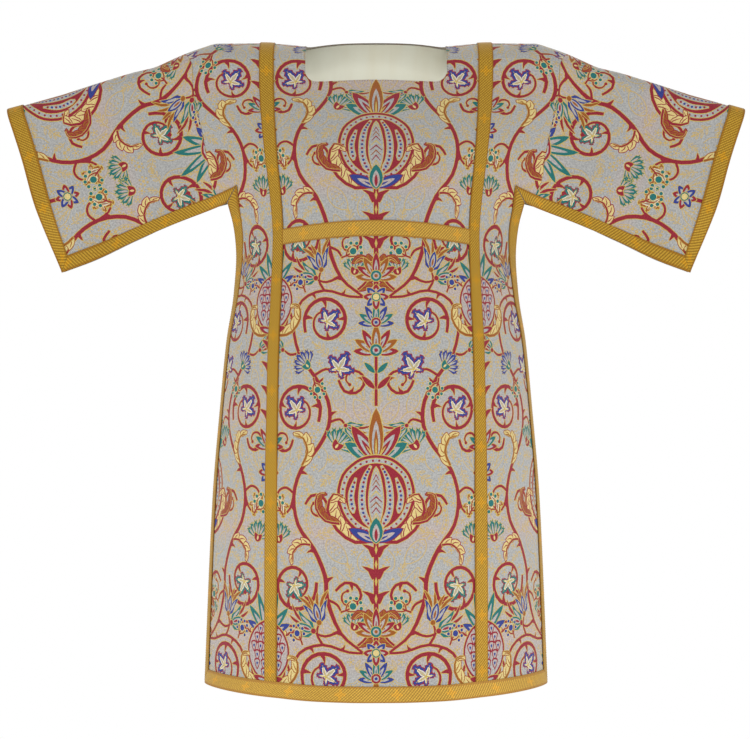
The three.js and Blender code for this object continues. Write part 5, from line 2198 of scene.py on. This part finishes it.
def band(name, kind, one, other, mirror=False):
    """A braid and its stitches between two matched lines. kind may name a side for each row."""
    strip, strip_normals, strip_map, faces = braid(kind, one, other)
    places, normals, maps = [strip], [strip_normals], [strip_map]
    all_faces = faces.tolist()
    count = len(strip)
    for inset in (STITCH_INSET, GALLOON - STITCH_INSET):
        line, out = strip_places(kind, one, other, np.array([inset / GALLOON]), BAND_HIGH)
        sewn, sewn_normals, sewn_faces = stitch_row(line, out)
        places.append(sewn)
        normals.append(sewn_normals)
        maps.append(np.zeros((len(sewn), 2)))
        all_faces += (sewn_faces + count).tolist()
        count += len(sewn)
    slots = np.r_[np.zeros(len(faces), int), np.ones(len(all_faces) - len(faces), int)]
    cloth = {"places": np.vstack(places), "normals": np.vstack(normals), "faces": all_faces,
             "map": np.vstack(maps), "slots": slots}
    if mirror:
        cloth = mirror_cloth(cloth)
    print(name, round(strip_map[:, 0].max()), "mm long,", (len(all_faces) - len(faces)) // 4, "stitches")
    # level bands take the copy with the painted highlight, upright ones the copy with painted shade
    lies = "level" if "cross" in name or "hem" in name else "upright"
    return cloth_object(name, cloth, [galloon_materials[lies], stitch_material])


bands = {}


def left_and_right(key, kind, one, other):
    """The same band on the wearer's left and, mirrored, on the right."""
    for name, mirror in (("left", False), ("right", True)):
        bands[f"{key}_{name}"] = band(f"{key}_{name}_braid", kind, one, other, mirror)


print("a braid has", len(BAND_SHARES), "places across")

# %% [markdown]
# Two upright bands run from hem to hem over the shoulders, the clavi of old tunics. At the
# shoulder line their rows change from the back's flat cloth to the front's.

# %% Upright, cross and hem bands
CLAVUS_MIDDLE = 188.5
CLAVUS_WIDTH = 26
GAP = 0.3
HEM_DOWN = {side: float(down_of(side, HEM_MIDDLE)) for side in FACING}
HEM_TOP = {side: float(down_of(side, HEM_MIDDLE - GALLOON)) for side in FACING}
clavus_rows = {side: np.linspace(0, HEM_TOP[side] - GAP, round(HEM_TOP[side] / BAND_STEP))
               for side in FACING}
down = np.r_[clavus_rows["back"][::-1], clavus_rows["front"][1:]]
kinds = np.array(["back"] * len(clavus_rows["back"]) + ["front"] * (len(clavus_rows["front"]) - 1))
near_middle = line_at(np.full(len(down), CLAVUS_MIDDLE - CLAVUS_WIDTH / 2), down)
near_side = line_at(np.full(len(down), CLAVUS_MIDDLE + CLAVUS_WIDTH / 2), down)
left_and_right("galloon_upright", kinds, near_middle, near_side)

reach = CLAVUS_MIDDLE - CLAVUS_WIDTH / 2 - GAP
for side in FACING:
    across = np.linspace(-reach, reach, round(2 * reach / BAND_STEP))
    upper = line_at(across, np.full(len(across), down_of(side, CHEST_TOP)))
    lower = line_at(across, np.full(len(across), down_of(side, CHEST_TOP + GALLOON)))
    bands[f"galloon_cross_{side}"] = band(f"galloon_cross_{side}_braid", side, upper, lower)

    low_reach = float(side_across(side, HEM_DOWN[side])) - GAP
    top_reach = float(side_across(side, HEM_TOP[side])) - GAP - GALLOON
    share = np.linspace(-1, 1, round(2 * low_reach / BAND_STEP))
    upper = line_at(share * top_reach, np.full(len(share), HEM_TOP[side]))
    lower = line_at(share * low_reach, np.full(len(share), HEM_DOWN[side]))
    bands[f"galloon_hem_{side}"] = band(f"galloon_hem_{side}_braid", side, upper, lower)

# %% [markdown]
# The side and underarm bands meet in a mitre at the armpit. Its two corners are known on the
# worn form, so they are first carried back to flat cloth.

# %% Side bands
ARMPIT_INNER = (237.8, -250.9)
MITRE_GAP = 0.6
EDGE_IN = 0.05
SIDE_FROM = 300.0


def body_flat(side, x, z):
    """A place on the body seen from the front to flat (across, down)."""
    drop = float(drop_at(x, z))
    row = np.interp(drop, TABLE_DROPS, np.arange(len(TABLE_DROPS)))
    j = min(int(row), len(TABLE_DROPS) - 2)
    arcs = [np.interp(x, section_x[k], section_arc[side][k]) for k in (j, j + 1)]
    across = arcs[0] + (arcs[1] - arcs[0]) * (row - j)
    return across, float(down_of(side, drop))


for side in FACING:
    corner = body_flat(side, ARMPIT_PLACE[0] - MITRE_GAP, ARMPIT_PLACE[1] - MITRE_GAP)
    inner_corner = body_flat(side, ARMPIT_INNER[0] - MITRE_GAP, ARMPIT_INNER[1] - MITRE_GAP)
    down = np.linspace(float(down_of(side, SIDE_FROM)), HEM_TOP[side] - GAP, 130)
    edge = line_at(side_across(side, down) - EDGE_IN, down)
    inner = line_at(edge[:, 0] - GALLOON, down)
    low_corner = (float(side_across(side, HEM_DOWN[side])) - EDGE_IN, HEM_DOWN[side] - GAP)
    edge = np.vstack([[corner], edge, [low_corner]])
    inner = np.vstack([[inner_corner], inner, [inner[-1]]])
    left_and_right(f"galloon_side_{side}", side, *matched(inner, edge))

# %% [markdown]
# A sleeve is folded over the arm, so its underarm bands mirror each other about the fold. The
# cuff band is one length that goes over the fold.

# %% Underarm and cuff bands
along = np.linspace(0, 1, 90)
mitre_out = np.array(ARMPIT_PLACE) + MITRE_GAP
mitre_in = np.array(ARMPIT_INNER) + MITRE_GAP
edge = sleeve_flat(underarm["edge_x"](along), underarm["edge_z"](along))
inner = sleeve_flat(underarm["inner_x"](along), underarm["inner_z"](along))
edge[0] = sleeve_flat(mitre_out[:1], mitre_out[1:])[0]
inner[0] = sleeve_flat(mitre_in[:1], mitre_in[1:])[0]
one, other = matched(inner, edge)
for side, way in (("front", 1), ("back", -1)):
    left_and_right(f"galloon_underarm_{side}", "sleeve", one * (1, way), other * (1, way))

edge = sleeve_flat(cuff["edge_x"](along), cuff["edge_z"](along))
inner = sleeve_flat(cuff["inner_x"](along), cuff["inner_z"](along))
edge[-1, 0] += GAP
inner[-1, 0] += GAP
edge[0, 1] = inner[0, 1] = 0
one = np.vstack([inner[::-1] * (1, -1), inner[1:]])
other = np.vstack([edge[::-1] * (1, -1), edge[1:]])
left_and_right("galloon_cuff", "sleeve", *matched(one, other))
print("bands", len(bands))

# %% [markdown]
# ## Studio
# Brocade shows its colours best in even light: a white surround, soft lamps low on both sides
# and in front, and one behind. The low lamps make the skirt a little brighter than the
# shoulders. The floor is a plain pale disc at the height where the wearer would stand.

# %% Floor and lights
FLOOR_HEIGHT = -1.42
FLOOR_RADIUS = 1.0

floor_mesh = bpy.data.meshes.new("studio_floor")
turns = np.linspace(0, 2 * np.pi, 97)[:-1]
rim_places = np.column_stack([FLOOR_RADIUS * np.cos(turns), FLOOR_RADIUS * np.sin(turns),
                              np.full(len(turns), FLOOR_HEIGHT)])
floor_mesh.from_pydata(rim_places.tolist(), [], [list(range(len(turns)))])
floor_object = bpy.data.objects.new("studio_floor", floor_mesh)
bpy.context.scene.collection.objects.link(floor_object)
floor_material = bpy.data.materials.new("pale floor")
floor_material.use_nodes = True
floor_shader = floor_material.node_tree.nodes["Principled BSDF"]
floor_shader.inputs["Base Color"].default_value = (0.82, 0.82, 0.81, 1)
floor_shader.inputs["Roughness"].default_value = 0.9
floor_mesh.materials.append(floor_material)

world = bpy.data.worlds.new("white surround")
world.use_nodes = True
world.node_tree.nodes["Background"].inputs["Color"].default_value = (1, 1, 1, 1)
world.node_tree.nodes["Background"].inputs["Strength"].default_value = 1.0
bpy.context.scene.world = world


def soft_light(name, place, aim, width, watts):
    data = bpy.data.lights.new(name, "AREA")
    data.size = width
    data.energy = watts
    lamp = bpy.data.objects.new(name, data)
    lamp.location = place
    lamp.rotation_euler = (Vector(aim) - Vector(place)).to_track_quat("-Z", "Y").to_euler()
    bpy.context.scene.collection.objects.link(lamp)
    return lamp


soft_light("left", (-1.3, -0.55, -1.5), (0, 0, -1.05), 1.0, 7.2)
soft_light("right", (1.3, -0.55, -1.5), (0, 0, -1.05), 1.0, 8.2)
soft_light("low front", (0, -1.5, -1.38), (0, 0, -1.15), 0.9, 6.0)
soft_light("rear", (0.4, 2.6, 0.6), (0, 0, -0.6), 1.6, 12)
bpy.context.scene.view_settings.view_transform = "Standard"

# %% [markdown]
# ## Lining and neck
# The lining hangs inside the back panel and shows through the neck. It is a light sateen, so
# it is thinner than the brocade and follows it loosely.

# %% The back lining
LINING_LIFT = -3.4
LINING_SEWN_LIFT = -1.3
LINING_FREE_BELOW = 30.0
LINING_WALL = 0.6
LINING_INSET = 6.0
LINING_BELOW_NECK = 0.8
LINING_ROWS = 150
LINING_COLUMNS = 91


def lining_flat():
    """The lining's grid: it follows the neck at its top and stops short of the seams."""
    share = np.linspace(-1, 1, LINING_COLUMNS)
    across = share * (half_length("back", 0) - LINING_INSET)
    inside = np.clip(1 - (across / NECK_HALF) ** 2, 0, 1)
    top = down_of("back", LINING_BELOW_NECK + NECK_BACK * inside**NECK_BACK_POWER)
    rows = []
    for t in np.linspace(0, 1, LINING_ROWS) ** 1.3:
        down = top + (HEM_DOWN["back"] - LINING_INSET - top) * t
        rows.append(np.column_stack([share * (side_across("back", down) - LINING_INSET), down]))
    return np.array(rows), top


grid_flat, lining_top = lining_flat()
flat = grid_flat.reshape(-1, 2)
# it is sewn to the neck edge and hangs free below
free = smoothstep(flat[:, 1] - np.tile(lining_top, LINING_ROWS), 0, LINING_FREE_BELOW)
lift = LINING_SEWN_LIFT + (LINING_LIFT - LINING_SEWN_LIFT) * free
outer, outer_normals = worn("back", flat, lift)
inner, inner_normals = worn("back", flat, lift - LINING_WALL)
faces = closed_strip(LINING_ROWS, LINING_COLUMNS)[:, ::-1]
lining = new_mesh("back_lining_sateen", np.vstack([outer, inner]), faces.tolist(),
                  np.zeros(len(faces), int), np.vstack([outer_normals, -inner_normals]),
                  np.vstack([flat, flat]), [lining_material])
print("lining faces", len(faces))

# %% [markdown]
# The neck has no galloon. Its raw edge is turned in and held by one row of fine stitches, a
# little in from the fold.

# %% Stitches round the neck
NECK_STITCH_IN = 2.0
NECK_STITCH_STEP = 4.4
NECK_STITCH_LENGTH = 2.6
NECK_STITCH_HALF = 0.75


def neck_row(side):
    """A line a little inside the neckline of a panel, from shoulder to shoulder."""
    end = int(np.argmax(halves[side][:, 0] >= NECK_HALF - 1e-6))
    if side == "front":
        end += 8
    half = halves[side][:end + 1]
    run = np.gradient(half, axis=0)
    out = np.column_stack([-run[:, 1], run[:, 0]]) / np.hypot(*run.T)[:, None]
    line = half + out * NECK_STITCH_IN
    line = line[line[:, 1] > 1]
    return resampled(np.vstack([(line * (-1, 1))[::-1][:-1], line]), 3)


sewn_places, sewn_normals, sewn_faces = [], [], []
for side in FACING:
    line, out = worn(side, neck_row(side), 0.1)
    some, some_normals, some_faces = stitch_row(line, out, NECK_STITCH_STEP, NECK_STITCH_LENGTH,
                                                NECK_STITCH_HALF)
    sewn_faces.append(some_faces + sum(len(p) for p in sewn_places))
    sewn_places.append(some)
    sewn_normals.append(some_normals)
sewn_faces = np.vstack(sewn_faces)
sewn_places = np.vstack(sewn_places)
neck_sewing = new_mesh("neck_edge_stitching", sewn_places, sewn_faces.tolist(),
                       np.zeros(len(sewn_faces), int), np.vstack(sewn_normals), sewn_places[:, [0, 2]],
                       [neck_stitch_material])
print("neck stitches", len(sewn_faces) // 4)

# %% [markdown]
# Little light falls into a neck, so the lining there would look grey. A lamp of its own would
# also bleach the chest, so it is linked to the lining alone.

# %% A lamp for the lining
NECK_WATTS = 21

neck_light = soft_light("neck", (-0.35, -1.6, -0.15), (0, 0.06, -0.04), 0.9, NECK_WATTS)
lit_alone = bpy.data.collections.new("lit by the neck lamp")
lit_alone.objects.link(lining)
neck_light.light_linking.receiver_collection = lit_alone
neck_light.light_linking.blocker_collection = lit_alone

# %% [markdown]
# ## Finishing
# Every piece rides on the one body of the frame and takes the place of its CAD solid; only the
# neck's stitches have none. The sheet rows say how large each cut is when it lies flat, and
# what is sewn to it.

# %% Attach every piece to the body and hide its CAD solid
brocade_pieces = {"front_panel": front_cloth, "back_panel": back_cloth,
                  "sleeve_left": sleeve_cloths["left"], "sleeve_right": sleeve_cloths["right"]}
for node, piece in brocade_pieces.items():
    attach(piece, "root")
    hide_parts(node)
for node, piece in bands.items():
    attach(piece, "root")
    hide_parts(node)
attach(neck_sewing, "root")
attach(lining, "root")
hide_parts("back_lining")
